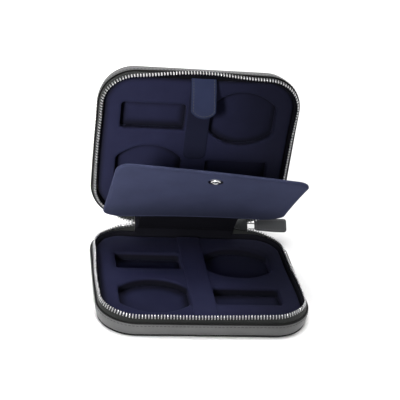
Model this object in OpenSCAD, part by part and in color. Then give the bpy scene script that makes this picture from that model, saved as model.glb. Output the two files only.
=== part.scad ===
// Zip-round travel case for four watches, standing open.
// Millimetres. The origin is the middle of the base's underside: +X to the right,
// +Y towards the spine, +Z up. Each half is drawn closed, with its outer face at
// z = 0 and its opening at z = half_h, and the lid half is then turned over the base
// and swung open about the spine.

/* [Case] */
// Width across the zip line
zip_w = 170; // [140:1:220]
// Depth across the zip line
zip_d = 136; // [120:1:180]
// Corner radius of the zip line
zip_r = 29; // [24:1:40]
// Height of each half, from its outer face to the opening
half_h = 21; // [20:0.5:28]
// Angle that the lid stands open at
lid_open = 90; // [40:1:120]

/* [Leather shell] */
// How far the leather wall stands outside the zip line
shell_out = 2; // [1.8:0.1:3]
// Thickness of the leather
leather_t = 1.6; // [1.2:0.1:1.8]
// Thickness of the large outer panel
panel_t = 1.2; // [1:0.1:1.6]
// Height of the leather wall's top edge above the outer face
wall_top = 11.5; // [9:0.5:12]
// Height of the dark edge binding on the wall
binding_h = 1; // [0.6:0.1:1.4]
// Radius of the piping round the outer panel
piping_r = 0.8; // [0.6:0.05:0.8]
// Height of the piping above the outer face
piping_lift = 0.3; // [0.2:0.05:0.4]

/* [Lining and stiffener] */
// Thickness of the stiffener board
board_t = 1.5; // [1:0.1:1.8]
// Height of the board's wall above the outer face
board_top = 14.5; // [13:0.5:15]
// Thickness of the lining
lining_t = 0.8; // [0.6:0.1:1]
// Height of the wall lining above the outer face
lining_top = 15.2; // [15:0.1:16]

/* [Insert] */
// How deep the insert's face lies below the opening
insert_recess = 8; // [7:0.5:10]
// Distance of a column of cut-outs from the middle
column_x = 38.7; // [38:0.1:48]
// Distance of the front row of cut-outs from the middle
front_row_y = 28.3; // [28:0.1:40]
// Distance of the back row of cut-outs from the middle
back_row_y = 23.7; // [22:0.1:34]
// Width of a watch-head cut-out between its flat sides
head_w = 57; // [50:0.5:57]
// Depth of a watch-head cut-out between its arcs
head_d = 49; // [44:0.5:52]
// Length of a watch-head cut-out's flat sides
head_flat = 24; // [16:0.5:30]
// Width of a strap cut-out
strap_w = 55.5; // [46:0.5:56]
// Depth of a strap cut-out
strap_d = 24; // [18:0.5:30]
// Corner radius of a strap cut-out
strap_r = 1.5; // [1:0.5:4]
// Width of the raised band between the columns
band_w = 20; // [16:0.5:20]
// Thickness of the raised band
band_t = 1.15; // [0.8:0.05:1.2]
// Length of the lid's band from its front end
lid_band_l = 73; // [50:1:80]
// Distance of a band's end from the lining
band_inset = 2; // [1:0.5:5]
// Corner radius of the lid band's free end
lid_band_r = 6; // [3:0.5:9]

/* [Zip] */
// Distance from one tooth to the next
tooth_pitch = 2.5; // [2.4:0.1:4]
// Length of a tooth
tooth_l = 4.4; // [3.8:0.1:4.5]
// Width of a tooth along the zip
tooth_w = 1.05; // [0.9:0.05:1.1]
// Depth of a tooth across the zip
tooth_d = 1.8; // [1.4:0.1:2]
// How far the teeth lean inwards from upright
tooth_lean = 30; // [15:1:35]
// Thickness of the zip tape
tape_t = 0.8; // [0.6:0.05:0.8]
// Height of the tape's corded edge above the outer face
tape_top = 16.5; // [16:0.1:16.5]
// Height of the tape's sewn edge above the outer face
tape_foot = 3.5; // [3:0.5:8]
// Length of an end stop
stop_l = 2.4; // [2:0.1:3]
// Height of an end stop
stop_h = 3.5; // [3:0.1:4]

/* [Spine] */
// Distance of the spine's left end from the zip line's left side
spine_inset_left = 34; // [33:1:44]
// Distance of the spine's right end from the zip line's right side
spine_inset_right = 43; // [43:1:50]
// Radius of the fold of leather at the hinge line
fold_r = 1.4; // [1:0.1:1.8]

/* [Divider] */
// Width of the divider's padded panel
divider_w = 153; // [130:1:154]
// Angle of the divider above the base, as the lid stands open
divider_open = 53; // [20:1:58]
// Gap between the divider's free edge and the front lining
divider_front_gap = 4.5; // [4:0.5:12]
// Corner radius of the divider's panel
divider_r = 12; // [8:1:20]
// Thickness of the divider's board
divider_board_t = 1.2; // [1:0.1:1.4]
// Thickness of each of the divider's covers
cover_t = 1; // [0.8:0.1:1.2]
// Distance of the padded panel from the divider's hinge line
divider_rise = 22; // [4:1:28]
// How far the hinge strip stops short of the spine's ends
strip_margin = 2; // [1:0.5:10]
// Radius of the hinge strip's rolled edge
strip_roll_r = 1.2; // [1:0.1:1.3]
// Distance of the press stud from the divider's free edge
stud_inset = 12; // [10:0.5:20]
// Radius of the press stud
stud_r = 5.2; // [4:0.1:7]
// Height of the press stud's cap
stud_h = 1.3; // [0.8:0.1:1.6]
// Radius of the press stud's crown
stud_crown_r = 3.2; // [2.8:0.1:3.6]
// Radius of the hollow in the press stud's crown
stud_eye_r = 2; // [1:0.1:2.4]
// Height of the press stud's flange and of its rivet
stud_flange_h = 0.6; // [0.4:0.1:0.7]

/* [Tongue] */
// Width of the tongue
tongue_w = 21; // [16:0.5:21]
// Length of the tongue from its fold
tongue_l = 33.5; // [30:0.5:40]
// Thickness of each layer of the tongue
tongue_t = 1.1; // [0.9:0.1:1.2]
// Radius of the tongue's rounded tip
tongue_tip_r = 13; // [11:0.5:18]
// Angle that the tongue hangs off the lid, as the lid stands open
tongue_open = 34; // [10:1:40]
// Radius of the snap socket under the tongue
socket_r = 4.6; // [3.5:0.1:6]
// Height of the snap socket
socket_h = 0.7; // [0.5:0.1:0.8]
// Radius of the hollow in the snap socket
socket_eye_r = 2.5; // [1.5:0.1:3]
// Distance of the snap socket from the tongue's tip
socket_inset = 12; // [8:0.5:14]
// Height of the tongue's fold above the opening, in the shut lid
tongue_fold_h = 4.6; // [4:0.1:5]

/* [Slider and pull] */
// Length of the slider
slider_l = 12.7; // [11:0.1:13]
// Width of the slider at its wide end
slider_w = 9.4; // [8:0.1:9.4]
// Width of the slider at its narrow end
slider_nose_w = 5.8; // [4:0.1:6]
// Length of the slider's tapered end
slider_taper_l = 7; // [5:0.5:8]
// Length of the slider's bridge
bridge_l = 9; // [8:0.1:9.2]
// Width of the slider's bridge
bridge_w = 2.4; // [2:0.1:2.6]
// Thickness of each of the slider's plates
slider_plate_t = 1.2; // [1:0.1:1.2]
// Gap between the slider's plates
slider_gap = 2.4; // [2:0.1:2.4]
// Distance of the slider's right end from the zip line's right side
slider_inset = 24.8; // [24.8:0.1:25]
// Length of the leather pull
pull_l = 28; // [20:0.5:28]
// Width of the leather pull
pull_w = 11; // [8:0.5:11]
// Thickness of each layer of the pull
pull_t = 1; // [0.8:0.1:1]
// Distance of the leather pull from the slider
pull_gap = 8.1; // [8:0.1:9]
// Width of the metal link between the slider and the pull
link_w = 6; // [5.6:0.1:7]
// Thickness of the link's wire
link_t = 0.9; // [0.7:0.05:0.9]

/* [Hidden] */

$fn = 64;

// Clearance between layers that lie on each other
layer_gap = 0.05;
// Half the gap left between the two halves when the case is shut
shut_gap = 0.15;
// Clearance of a soft piece from the piece that carries it
seat_gap = 0.3;

outer_w = zip_w + 2 * shell_out;
outer_d = zip_d + 2 * shell_out;
outer_r = zip_r + shell_out;

// Distances inwards from the leather wall's outer face
tape_in = leather_t + layer_gap;
board_in = tape_in + tape_t + layer_gap;
lining_in = board_in + board_t + layer_gap;
insert_in = lining_in + lining_t + layer_gap;

// Heights above the outer face
wall_foot = 2 * piping_r + piping_lift + layer_gap;
board_foot = panel_t + layer_gap;
floor_top = board_foot + board_t + layer_gap;
insert_foot = floor_top + lining_t + layer_gap;
insert_top = half_h - insert_recess;
band_foot = insert_top + layer_gap;
band_corner_r = 1;
rim_top = half_h - shut_gap;

// The line that the lid swings about, along X
axis_y = outer_d / 2 + fold_r + seat_gap;
axis_z = half_h;

// Ends of the spine and of the slider, from the middle of the case
spine_left = zip_w / 2 - spine_inset_left;
spine_right = zip_w / 2 - spine_inset_right;
slider_end = zip_w / 2 - slider_inset;

// The line that the divider swings about, along X
lining_face = outer_d / 2 - lining_in - lining_t;
anchor_face = lining_face - layer_gap - lining_t;
divider_axis_y = anchor_face - seat_gap - strip_roll_r;
divider_l = divider_axis_y + lining_face - divider_front_gap;
divider_t = divider_board_t + 2 * cover_t;
strip_lap = 6;
strip_x = -spine_left + strip_margin;
strip_w = spine_left + spine_right - 2 * strip_margin;
cover_inset = 0.6;
board_inset = 1.2;
edge_drop = 0.4;

// The line that the tongue swings about, in the shut lid
tongue_roll_r = 1;
tongue_anchor_h = insert_recess - tongue_fold_h + tongue_roll_r - seat_gap;
tongue_axis_y = -(anchor_face - seat_gap - tongue_roll_r);
tongue_axis_z = half_h + tongue_fold_h;

// Lengths along the zip line, from the middle of the front
front_run = zip_w / 2 - zip_r;
corner_run = zip_r * PI / 2;
side_run = zip_d - 2 * zip_r;
back_start = front_run + 2 * corner_run + side_run;

// Each row of teeth stops short of the spine on the left, and on the right it leaves the
// slider room for its first few millimetres
row_clear = 1.4;
slide_clear = 5.2;
left_run = run_to(spine_left + row_clear);
right_run = run_to(slider_end + slide_clear);
// The stops that keep the slider on the rows stand behind its nose
back_stop_run = run_to(slider_end - slider_l - row_clear - stop_l / 2);

slider_turn = 45;
slider_foot = slider_gap / 2 + slider_plate_t + layer_gap;
bridge_t = 0.9;
bridge_rise = 2.1;
bridge_end = slider_end - 0.2;
post_back = 2.9;
post_l = 5;
pull_pivot_x = bridge_end - bridge_t - link_t;
pull_x = slider_end + pull_gap;
pull_z = slider_foot + (bridge_rise - bridge_t) / 2;

leather_colour = [0.16, 0.16, 0.17];
edge_colour = [0.05, 0.05, 0.05];
board_colour = [0.35, 0.3, 0.25];
lining_colour = [0.08, 0.08, 0.12];
suede_colour = [0.17, 0.18, 0.33];
tape_colour = [0.2, 0.2, 0.2];
metal_colour = [0.8, 0.8, 0.82];
slider_colour = [0.3, 0.3, 0.31];

// ---------- shapes ----------

// Rounded rectangle, inset from the leather wall's outer face
module outline(inset = 0) {
    w = outer_w - 2 * inset;
    d = outer_d - 2 * inset;
    r = outer_r - inset;
    rounded_rectangle(w, d, r);
}

module rounded_rectangle(w, d, r) {
    square([w - 2 * r, d], center = true);
    square([w, d - 2 * r], center = true);
    for (sx = [-1, 1], sy = [-1, 1])
        translate([sx * (w / 2 - r), sy * (d / 2 - r)])
            circle(r);
}

// Layer of the case from z0 to z1
module layer(z0, z1, inset = 0) {
    translate([0, 0, z0])
        linear_extrude(z1 - z0)
            outline(inset);
}

// Wall of the case, t thick, from z0 to z1
module wall(z0, z1, inset, t) {
    translate([0, 0, z0])
        linear_extrude(z1 - z0)
            difference() {
                outline(inset);
                outline(inset + t);
            }
}

// Round cord laid along the case's outline
module cord_round(inset, z, r) {
    cx = outer_w / 2 - outer_r;
    cy = outer_d / 2 - outer_r;
    path_r = outer_r - inset;
    for (side = [-1, 1]) {
        translate([0, side * (outer_d / 2 - inset), z])
            rotate([0, 90, 0])
                cylinder(h = 2 * cx, r = r, center = true);
        translate([side * (outer_w / 2 - inset), 0, z])
            rotate([90, 0, 0])
                cylinder(h = 2 * cy, r = r, center = true);
    }
    for (turn = [[1, 1, 0], [-1, 1, 90], [-1, -1, 180], [1, -1, 270]])
        translate([turn[0] * cx, turn[1] * cy, z])
            rotate([0, 0, turn[2]])
                rotate_extrude(angle = 90)
                    translate([path_r, 0])
                        circle(r);
}

// Block along the back wall, between two distances inwards from its outer face
module back_block(x0, x1, inset0, inset1, z0, z1) {
    translate([x0, outer_d / 2 - inset1, z0])
        cube([x1 - x0, inset1 - inset0, z1 - z0]);
}

// Watch-head cut-out: arcs in front and behind, flat at the sides
module head_shape() {
    half_span = head_w / 2;
    rise = (head_d - head_flat) / 2;
    arc_r = (half_span * half_span + rise * rise) / (2 * rise);
    intersection() {
        square([head_w, head_d], center = true);
        translate([0, head_d / 2 - arc_r])
            circle(arc_r, $fn = 96);
        translate([0, arc_r - head_d / 2])
            circle(arc_r, $fn = 96);
    }
}

module strap_shape() {
    rounded_rectangle(strap_w, strap_d, strap_r);
}

// The insert, with its two columns of cut-outs. side is the column whose watch head
// lies in the front row.
module insert_shape(side) {
    difference() {
        outline(insert_in);
        translate([side * column_x, -front_row_y])
            head_shape();
        translate([-side * column_x, back_row_y])
            head_shape();
        translate([side * column_x, back_row_y])
            strap_shape();
        translate([-side * column_x, -front_row_y])
            strap_shape();
    }
}

// A point of the zip line at a distance s from the middle of the front: x, y and the
// heading of the row there
function zip_point(s) =
    s < front_run ? [s, -zip_d / 2, 0]
    : s < front_run + corner_run ? front_corner((s - front_run) / corner_run * 90)
    : s < front_run + corner_run + side_run
        ? [zip_w / 2, -zip_d / 2 + zip_r + s - front_run - corner_run, 90]
    : s < back_start ? back_corner((s - front_run - corner_run - side_run) / corner_run * 90)
    : [zip_w / 2 - zip_r - s + back_start, zip_d / 2, 180];

function front_corner(a) =
    [zip_w / 2 - zip_r + zip_r * sin(a), -zip_d / 2 + zip_r - zip_r * cos(a), a];

function back_corner(a) =
    [zip_w / 2 - zip_r + zip_r * cos(a), zip_d / 2 - zip_r + zip_r * sin(a), 90 + a];

// Distance along the zip line to where its back lies x from the middle
function run_to(x) =
    x < front_run ? back_start + front_run - x
    : back_start - zip_r * asin((x - front_run) / zip_r) * PI / 180;

// Something that stands on the tape's edge at a distance s, to the right or left
module on_tape(s, side) {
    p = zip_point(s);
    mirror([side < 0 ? 1 : 0, 0, 0])
        translate([p[0], p[1], tape_top + layer_gap + tooth_d / 2 * sin(tooth_lean)])
            rotate([0, 0, p[2]])
                rotate([-tooth_lean, 0, 0])
                    children();
}

module tooth() {
    translate([-tooth_w / 2, -tooth_d / 2, 0])
        cube([tooth_w, tooth_d, tooth_l]);
}

// Row of teeth; shift is the first tooth's distance from the middle of the front
module teeth(shift) {
    for (s = [shift : tooth_pitch : right_run])
        on_tape(s, 1)
            tooth();
    for (s = [shift > 0 ? shift : tooth_pitch : tooth_pitch : left_run - stop_l - tooth_pitch])
        on_tape(s, -1)
            tooth();
}

module end_stop() {
    translate([-stop_l / 2, -tooth_d / 2, 0])
        cube([stop_l, tooth_d, stop_h]);
}

module end_stops() {
    on_tape(back_stop_run, 1)
        end_stop();
    on_tape(left_run - stop_l / 2, -1)
        end_stop();
}

module zip_tape() {
    difference() {
        wall(tape_foot, tape_top, tape_in, tape_t);
        translate([-spine_left, 0, tape_foot - 1])
            cube([spine_left + spine_right, outer_d, half_h]);
    }
}

module centre_band(y0, y1, end_r) {
    translate([0, 0, band_foot])
        linear_extrude(band_t) {
            translate([-band_w / 2, y0])
                square([band_w, y1 - y0 - end_r]);
            translate([-band_w / 2 + end_r, y0])
                square([band_w - 2 * end_r, y1 - y0]);
            for (side = [-1, 1])
                translate([side * (band_w / 2 - end_r), y1 - end_r])
                    circle(end_r);
        }
}

// Turns a half over the base and swings it open
module on_lid() {
    translate([0, axis_y, axis_z])
        rotate([-lid_open, 0, 0])
            translate([0, -axis_y, -axis_z])
                children();
}

module turned_over() {
    on_lid()
        translate([0, 0, 2 * half_h])
            mirror([0, 0, 1])
                children();
}

// Swings the divider up from where it lies in the shut case
module on_divider() {
    translate([0, divider_axis_y, axis_z])
        rotate([-divider_open, 0, 0])
            children();
}

// Swings the tongue off the lid; inside, y runs from its fold to its tip
module on_tongue() {
    on_lid()
        translate([0, tongue_axis_y, tongue_axis_z])
            rotate([-tongue_open, 0, 0])
                children();
}

// Inside, x runs along the zip, y across it and z out of the case
module on_slider() {
    translate([0, axis_y, axis_z])
        rotate([slider_turn + 180, 0, 0])
            children();
}

// ---------- base ----------

module base_outer_panel() {
    color(leather_colour)
        layer(0, panel_t, 2 * piping_r + layer_gap);
}

module base_piping() {
    color(edge_colour)
        cord_round(piping_r, piping_r + piping_lift, piping_r);
}

module base_side_wall() {
    color(leather_colour)
        wall(wall_foot, wall_top, 0, leather_t);
}

module wall_binding() {
    difference() {
        wall(wall_top + layer_gap, wall_top + binding_h, layer_gap, leather_t - layer_gap);
        translate([-spine_left, 0, wall_top])
            cube([spine_left + spine_right, outer_d, half_h]);
    }
}

module base_wall_binding() {
    color(edge_colour)
        wall_binding();
}

module board_tray() {
    layer(board_foot, board_foot + board_t, 2 * piping_r + layer_gap);
    wall(board_foot + board_t, board_top, board_in, board_t);
}

module base_board_tray() {
    color(board_colour)
        board_tray();
}

module base_wall_lining() {
    color(lining_colour)
        wall(floor_top, lining_top, lining_in, lining_t);
}

module base_floor_lining() {
    color(suede_colour)
        layer(floor_top, floor_top + lining_t, insert_in);
}

module base_insert() {
    color(suede_colour)
        translate([0, 0, insert_foot])
            linear_extrude(insert_top - insert_foot)
                insert_shape(-1);
}

module base_centre_band() {
    color(suede_colour)
        centre_band(-lining_face + band_inset, lining_face - 2 * band_inset, band_corner_r);
}

module base_zip_tape() {
    color(tape_colour)
        zip_tape();
}

module base_zip_teeth() {
    color(metal_colour)
        teeth(tooth_pitch / 2);
}

module base_end_stops() {
    color(metal_colour)
        end_stops();
}

// ---------- spine ----------

module spine_leather() {
    back_block(-spine_left, spine_right, 0, leather_t, wall_top + layer_gap, rim_top);
}

module spine_lining() {
    back_block(-spine_left, spine_right, tape_in, lining_in + lining_t,
        lining_top + layer_gap, rim_top);
}

module spine_leather_lower() {
    color(leather_colour)
        spine_leather();
}

module spine_lining_lower() {
    color(lining_colour)
        spine_lining();
}

module spine_fold() {
    color(leather_colour)
        translate([-spine_left, axis_y, axis_z])
            rotate([0, 90, 0])
                cylinder(h = spine_left + spine_right, r = fold_r);
}

module spine_leather_upper() {
    color(leather_colour)
        turned_over()
            spine_leather();
}

module spine_lining_upper() {
    color(lining_colour)
        turned_over()
            spine_lining();
}

// ---------- lid ----------

module lid_outer_panel() {
    color(leather_colour)
        turned_over()
            layer(0, panel_t, 2 * piping_r + layer_gap);
}

module lid_piping() {
    color(edge_colour)
        turned_over()
            cord_round(piping_r, piping_r + piping_lift, piping_r);
}

module lid_side_wall() {
    color(leather_colour)
        turned_over()
            wall(wall_foot, wall_top, 0, leather_t);
}

module lid_wall_binding() {
    color(edge_colour)
        turned_over()
            wall_binding();
}

module lid_board_tray() {
    color(board_colour)
        turned_over()
            board_tray();
}

module lid_wall_lining() {
    color(lining_colour)
        turned_over()
            wall(floor_top, lining_top, lining_in, lining_t);
}

module lid_floor_lining() {
    color(suede_colour)
        turned_over()
            layer(floor_top, floor_top + lining_t, insert_in);
}

module lid_insert() {
    color(suede_colour)
        turned_over()
            translate([0, 0, insert_foot])
                linear_extrude(insert_top - insert_foot)
                    insert_shape(1);
}

module lid_centre_band() {
    color(suede_colour)
        turned_over()
            centre_band(-lining_face + band_inset, -lining_face + band_inset + lid_band_l,
                lid_band_r);
}

module lid_zip_tape() {
    color(tape_colour)
        turned_over()
            zip_tape();
}

module lid_zip_teeth() {
    color(metal_colour)
        turned_over()
            teeth(0);
}

module lid_end_stops() {
    color(metal_colour)
        turned_over()
            end_stops();
}

// ---------- divider ----------

// Outline of the divider's panel, down to its free edge from a distance behind which
// it has nothing
module divider_shape(inset = 0, back = 0) {
    back_edge = divider_rise + max(inset, back);
    front_edge = divider_l - inset;
    translate([0, -(front_edge + back_edge) / 2])
        rounded_rectangle(divider_w - 2 * inset, front_edge - back_edge, divider_r - inset);
}

module divider_layer(z0, z1, inset = 0, back = 0) {
    on_divider()
        translate([0, 0, z0])
            linear_extrude(z1 - z0)
                divider_shape(inset, back);
}

// The strip's flat part, with a clearance all round
module strip_sheet(gap = 0) {
    translate([strip_x - gap, -divider_rise - strip_lap, -lining_t / 2 - gap])
        cube([strip_w + 2 * gap, divider_rise + strip_lap, lining_t + 2 * gap]);
}

module divider_anchor() {
    color(lining_colour)
        translate([strip_x, anchor_face, insert_top + layer_gap])
            cube([strip_w, lining_t, rim_top - insert_top - layer_gap]);
}

module divider_hinge_strip() {
    color(lining_colour)
        on_divider() {
            translate([strip_x, 0, 0])
                rotate([0, 90, 0])
                    cylinder(h = strip_w, r = strip_roll_r);
            strip_sheet();
        }
}

module divider_board() {
    color(board_colour)
        divider_layer(-divider_board_t / 2, divider_board_t / 2, board_inset,
            strip_lap + layer_gap);
}

module divider_front_cover() {
    color(suede_colour)
        divider_layer(-divider_t / 2, -divider_board_t / 2 - layer_gap, cover_inset);
}

module divider_rear_cover() {
    color(suede_colour)
        divider_layer(divider_board_t / 2 + layer_gap, divider_t / 2, cover_inset);
}

module divider_edge_binding() {
    color(suede_colour)
        difference() {
            divider_layer(-divider_t / 2 + edge_drop, divider_t / 2 - edge_drop);
            divider_layer(-divider_t, divider_t, cover_inset - layer_gap);
            on_divider()
                strip_sheet(layer_gap);
        }
}

module press_stud_cap() {
    color(metal_colour)
        on_divider()
            translate([0, -divider_l + stud_inset, -divider_t / 2 - layer_gap])
                mirror([0, 0, 1])
                    difference() {
                        union() {
                            cylinder(h = stud_flange_h, r = stud_r);
                            cylinder(h = stud_h, r = stud_crown_r);
                        }
                        translate([0, 0, stud_flange_h])
                            cylinder(h = stud_h, r = stud_eye_r);
                    }
}

module press_stud_rivet() {
    color(metal_colour)
        on_divider()
            translate([0, -divider_l + stud_inset, divider_t / 2 + layer_gap])
                cylinder(h = stud_flange_h, r = stud_crown_r);
}

// ---------- tongue ----------

module tongue_shape() {
    half_w = tongue_w / 2;
    straight = tongue_l - tongue_tip_r + sqrt(tongue_tip_r * tongue_tip_r - half_w * half_w);
    translate([-half_w, 0])
        square([tongue_w, straight]);
    intersection() {
        translate([0, tongue_l - tongue_tip_r])
            circle(tongue_tip_r);
        translate([-half_w, 0])
            square([tongue_w, tongue_l]);
    }
}

module tongue_anchor() {
    color(lining_colour)
        on_lid()
            translate([-tongue_w / 2, -anchor_face - lining_t, tongue_axis_z - tongue_roll_r])
                cube([tongue_w, lining_t, tongue_anchor_h]);
}

module tongue_face() {
    color(suede_colour)
        on_tongue()
            difference() {
                union() {
                    translate([0, 0, -tongue_t])
                        linear_extrude(tongue_t)
                            tongue_shape();
                    rotate([0, 90, 0])
                        cylinder(h = tongue_w, r = tongue_roll_r, center = true);
                }
                translate([-tongue_w, -tongue_l, layer_gap / 2])
                    cube([2 * tongue_w, 2 * tongue_l, tongue_l]);
            }
}

module tongue_backing() {
    color(suede_colour)
        on_tongue()
            translate([0, 0, layer_gap])
                linear_extrude(tongue_t)
                    tongue_shape();
}

module snap_socket() {
    color(metal_colour)
        on_tongue()
            translate([0, tongue_l - socket_inset, tongue_t + 2 * layer_gap])
                difference() {
                    cylinder(h = socket_h, r = socket_r);
                    translate([0, 0, socket_h / 2])
                        cylinder(h = socket_h, r = socket_eye_r);
                }
}

// ---------- slider and pull ----------

// Outline of the slider's plates: narrow where the rows part
module slider_plate_shape() {
    nose = slider_end - slider_l;
    polygon([
        [nose, -slider_nose_w / 2],
        [nose, slider_nose_w / 2],
        [nose + slider_taper_l, slider_w / 2],
        [slider_end, slider_w / 2],
        [slider_end, -slider_w / 2],
        [nose + slider_taper_l, -slider_w / 2]
    ]);
}

module slider_body() {
    color(slider_colour)
        on_slider() {
            for (z = [-slider_gap / 2 - slider_plate_t, slider_gap / 2])
                translate([0, 0, z])
                    linear_extrude(slider_plate_t)
                        slider_plate_shape();
            translate([slider_end - post_back - post_l, -bridge_w / 2, -slider_gap / 2])
                cube([post_l, bridge_w, slider_gap]);
        }
}

module slider_bridge() {
    color(metal_colour)
        on_slider()
            translate([bridge_end - bridge_l, -bridge_w / 2, slider_foot])
                difference() {
                    cube([bridge_l, bridge_w, bridge_rise]);
                    translate([bridge_t, -bridge_w / 2, -bridge_t])
                        cube([bridge_l - 2 * bridge_t, 2 * bridge_w, bridge_rise]);
                }
}

// Ring of wire, through the bridge at one end and against the leather at the other
module pull_link() {
    arm_y = (link_w - link_t) / 2;
    arm_l = pull_x - layer_gap - link_t / 2 - pull_pivot_x;
    color(metal_colour)
        on_slider()
            translate([pull_pivot_x, 0, pull_z]) {
                for (x = [0, arm_l])
                    translate([x, 0, 0])
                        rotate([90, 0, 0])
                            cylinder(h = link_w, r = link_t / 2, center = true);
                for (side = [-1, 1])
                    translate([0, side * arm_y, 0])
                        rotate([0, 90, 0])
                            cylinder(h = arm_l, r = link_t / 2);
            }
}

module pull_leather_front() {
    color(leather_colour)
        on_slider()
            translate([pull_x, -pull_w / 2, pull_z])
                cube([pull_l, pull_w, pull_t]);
}

module pull_leather_back() {
    color(leather_colour)
        on_slider()
            translate([pull_x, -pull_w / 2, pull_z - pull_t])
                cube([pull_l, pull_w, pull_t]);
}

base_outer_panel();
base_piping();
base_side_wall();
base_wall_binding();
base_board_tray();
base_wall_lining();
base_floor_lining();
base_insert();
base_centre_band();
base_zip_tape();
base_zip_teeth();
base_end_stops();
spine_leather_lower();
spine_lining_lower();
spine_fold();
lid_outer_panel();
lid_piping();
lid_side_wall();
lid_wall_binding();
lid_board_tray();
lid_wall_lining();
lid_floor_lining();
lid_insert();
lid_centre_band();
lid_zip_tape();
lid_zip_teeth();
lid_end_stops();
spine_leather_upper();
spine_lining_upper();
divider_anchor();
divider_hinge_strip();
divider_board();
divider_front_cover();
divider_rear_cover();
divider_edge_binding();
press_stud_cap();
press_stud_rivet();
tongue_anchor();
tongue_face();
tongue_backing();
snap_socket();
slider_body();
slider_bridge();
pull_link();
pull_leather_front();
pull_leather_back();
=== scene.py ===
"""The looks of the watch travel case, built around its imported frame.

Sizes are in millimetres, in the frame's own axes. Both trays are drawn lying closed, with
the outer face at z = 0 and the opening at z = half_h. The lid's is then turned over and
stood up about the hinge line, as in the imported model.
"""

import logging
import math
from contextlib import contextmanager
from dataclasses import dataclass, field
from enum import Enum
from typing import Callable, Iterable, Iterator, Sequence

import bmesh
import bpy
from mathutils import Matrix, Vector, noise
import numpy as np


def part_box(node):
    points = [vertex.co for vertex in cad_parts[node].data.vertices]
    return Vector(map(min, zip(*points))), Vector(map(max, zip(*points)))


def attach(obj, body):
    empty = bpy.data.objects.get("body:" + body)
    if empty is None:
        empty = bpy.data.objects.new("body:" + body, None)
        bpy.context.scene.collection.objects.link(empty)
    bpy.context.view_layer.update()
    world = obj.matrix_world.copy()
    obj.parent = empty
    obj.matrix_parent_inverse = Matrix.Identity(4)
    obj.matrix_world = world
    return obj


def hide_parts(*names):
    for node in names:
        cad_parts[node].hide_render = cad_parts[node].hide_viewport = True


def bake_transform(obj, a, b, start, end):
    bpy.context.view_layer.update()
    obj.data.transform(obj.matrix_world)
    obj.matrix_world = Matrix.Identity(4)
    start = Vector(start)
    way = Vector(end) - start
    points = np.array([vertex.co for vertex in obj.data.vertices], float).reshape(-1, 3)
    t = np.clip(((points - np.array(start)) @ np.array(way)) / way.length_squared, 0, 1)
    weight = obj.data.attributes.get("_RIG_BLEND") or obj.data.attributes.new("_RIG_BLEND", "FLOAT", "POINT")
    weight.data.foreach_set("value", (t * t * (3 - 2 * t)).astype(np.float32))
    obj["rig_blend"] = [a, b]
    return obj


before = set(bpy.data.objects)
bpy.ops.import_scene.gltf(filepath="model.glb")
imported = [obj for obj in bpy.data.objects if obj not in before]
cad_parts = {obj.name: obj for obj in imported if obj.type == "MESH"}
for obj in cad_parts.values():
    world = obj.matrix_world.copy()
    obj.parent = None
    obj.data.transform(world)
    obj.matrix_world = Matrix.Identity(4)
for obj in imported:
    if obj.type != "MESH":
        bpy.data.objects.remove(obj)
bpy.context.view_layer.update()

MM = 0.001
log = logging.getLogger("watch_case")

Point = tuple[float, float, float]
Flat = tuple[float, float]


# ---------- sizes ----------

@dataclass(frozen=True)
class CaseSizes:
    """The driving sizes, in millimetres.

    The outline is read from the frame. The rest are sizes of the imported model, but for the
    top of the wall and its edge, the spine's ends and the slider's end, which follow the
    photograph.
    """

    outer_w: float
    outer_d: float
    outer_r: float = 31.0
    half_h: float = 21.0
    wall_foot: float = 1.95
    wall_top: float = 12.3
    binding_top: float = 13.3
    leather_t: float = 1.6
    panel_t: float = 1.2
    piping_r: float = 0.8
    piping_lift: float = 0.3
    tape_in: float = 1.65
    tape_t: float = 0.8
    tape_foot: float = 3.5
    board_in: float = 2.5
    board_top: float = 14.5
    lining_in: float = 4.05
    lining_t: float = 0.8
    lining_foot: float = 2.8
    insert_in: float = 4.9
    insert_foot: float = 3.65
    insert_top: float = 13.0
    spine_left: float = 47.0
    spine_right: float = 42.0
    slider_end: float = 55.0
    axis_y: float = 71.7
    divider_y: float = 62.8

    @classmethod
    def from_frame(cls) -> "CaseSizes":
        """Reads the outline's size from the base's leather wall."""
        low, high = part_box("base_side_wall")
        return cls(outer_w=(high.x - low.x) / MM, outer_d=(high.y - low.y) / MM)


SIZES = CaseSizes.from_frame()


class Half(Enum):
    """The two trays, and where each one stands."""

    BASE = "base"
    LID = "lid"

    def place(self, point: Sequence[float]) -> Vector:
        """Moves a point of the closed tray, in millimetres, to where the tray stands.

        Args:
            point: x, y and height above the tray's outer face.

        Returns:
            The point in the frame, in metres.
        """
        x, y, z = point
        if self is Half.BASE:
            return Vector((x, y, z)) * MM
        back = SIZES.axis_y + SIZES.half_h
        return Vector((x, back - z, back - y)) * MM


# ---------- materials ----------

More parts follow.
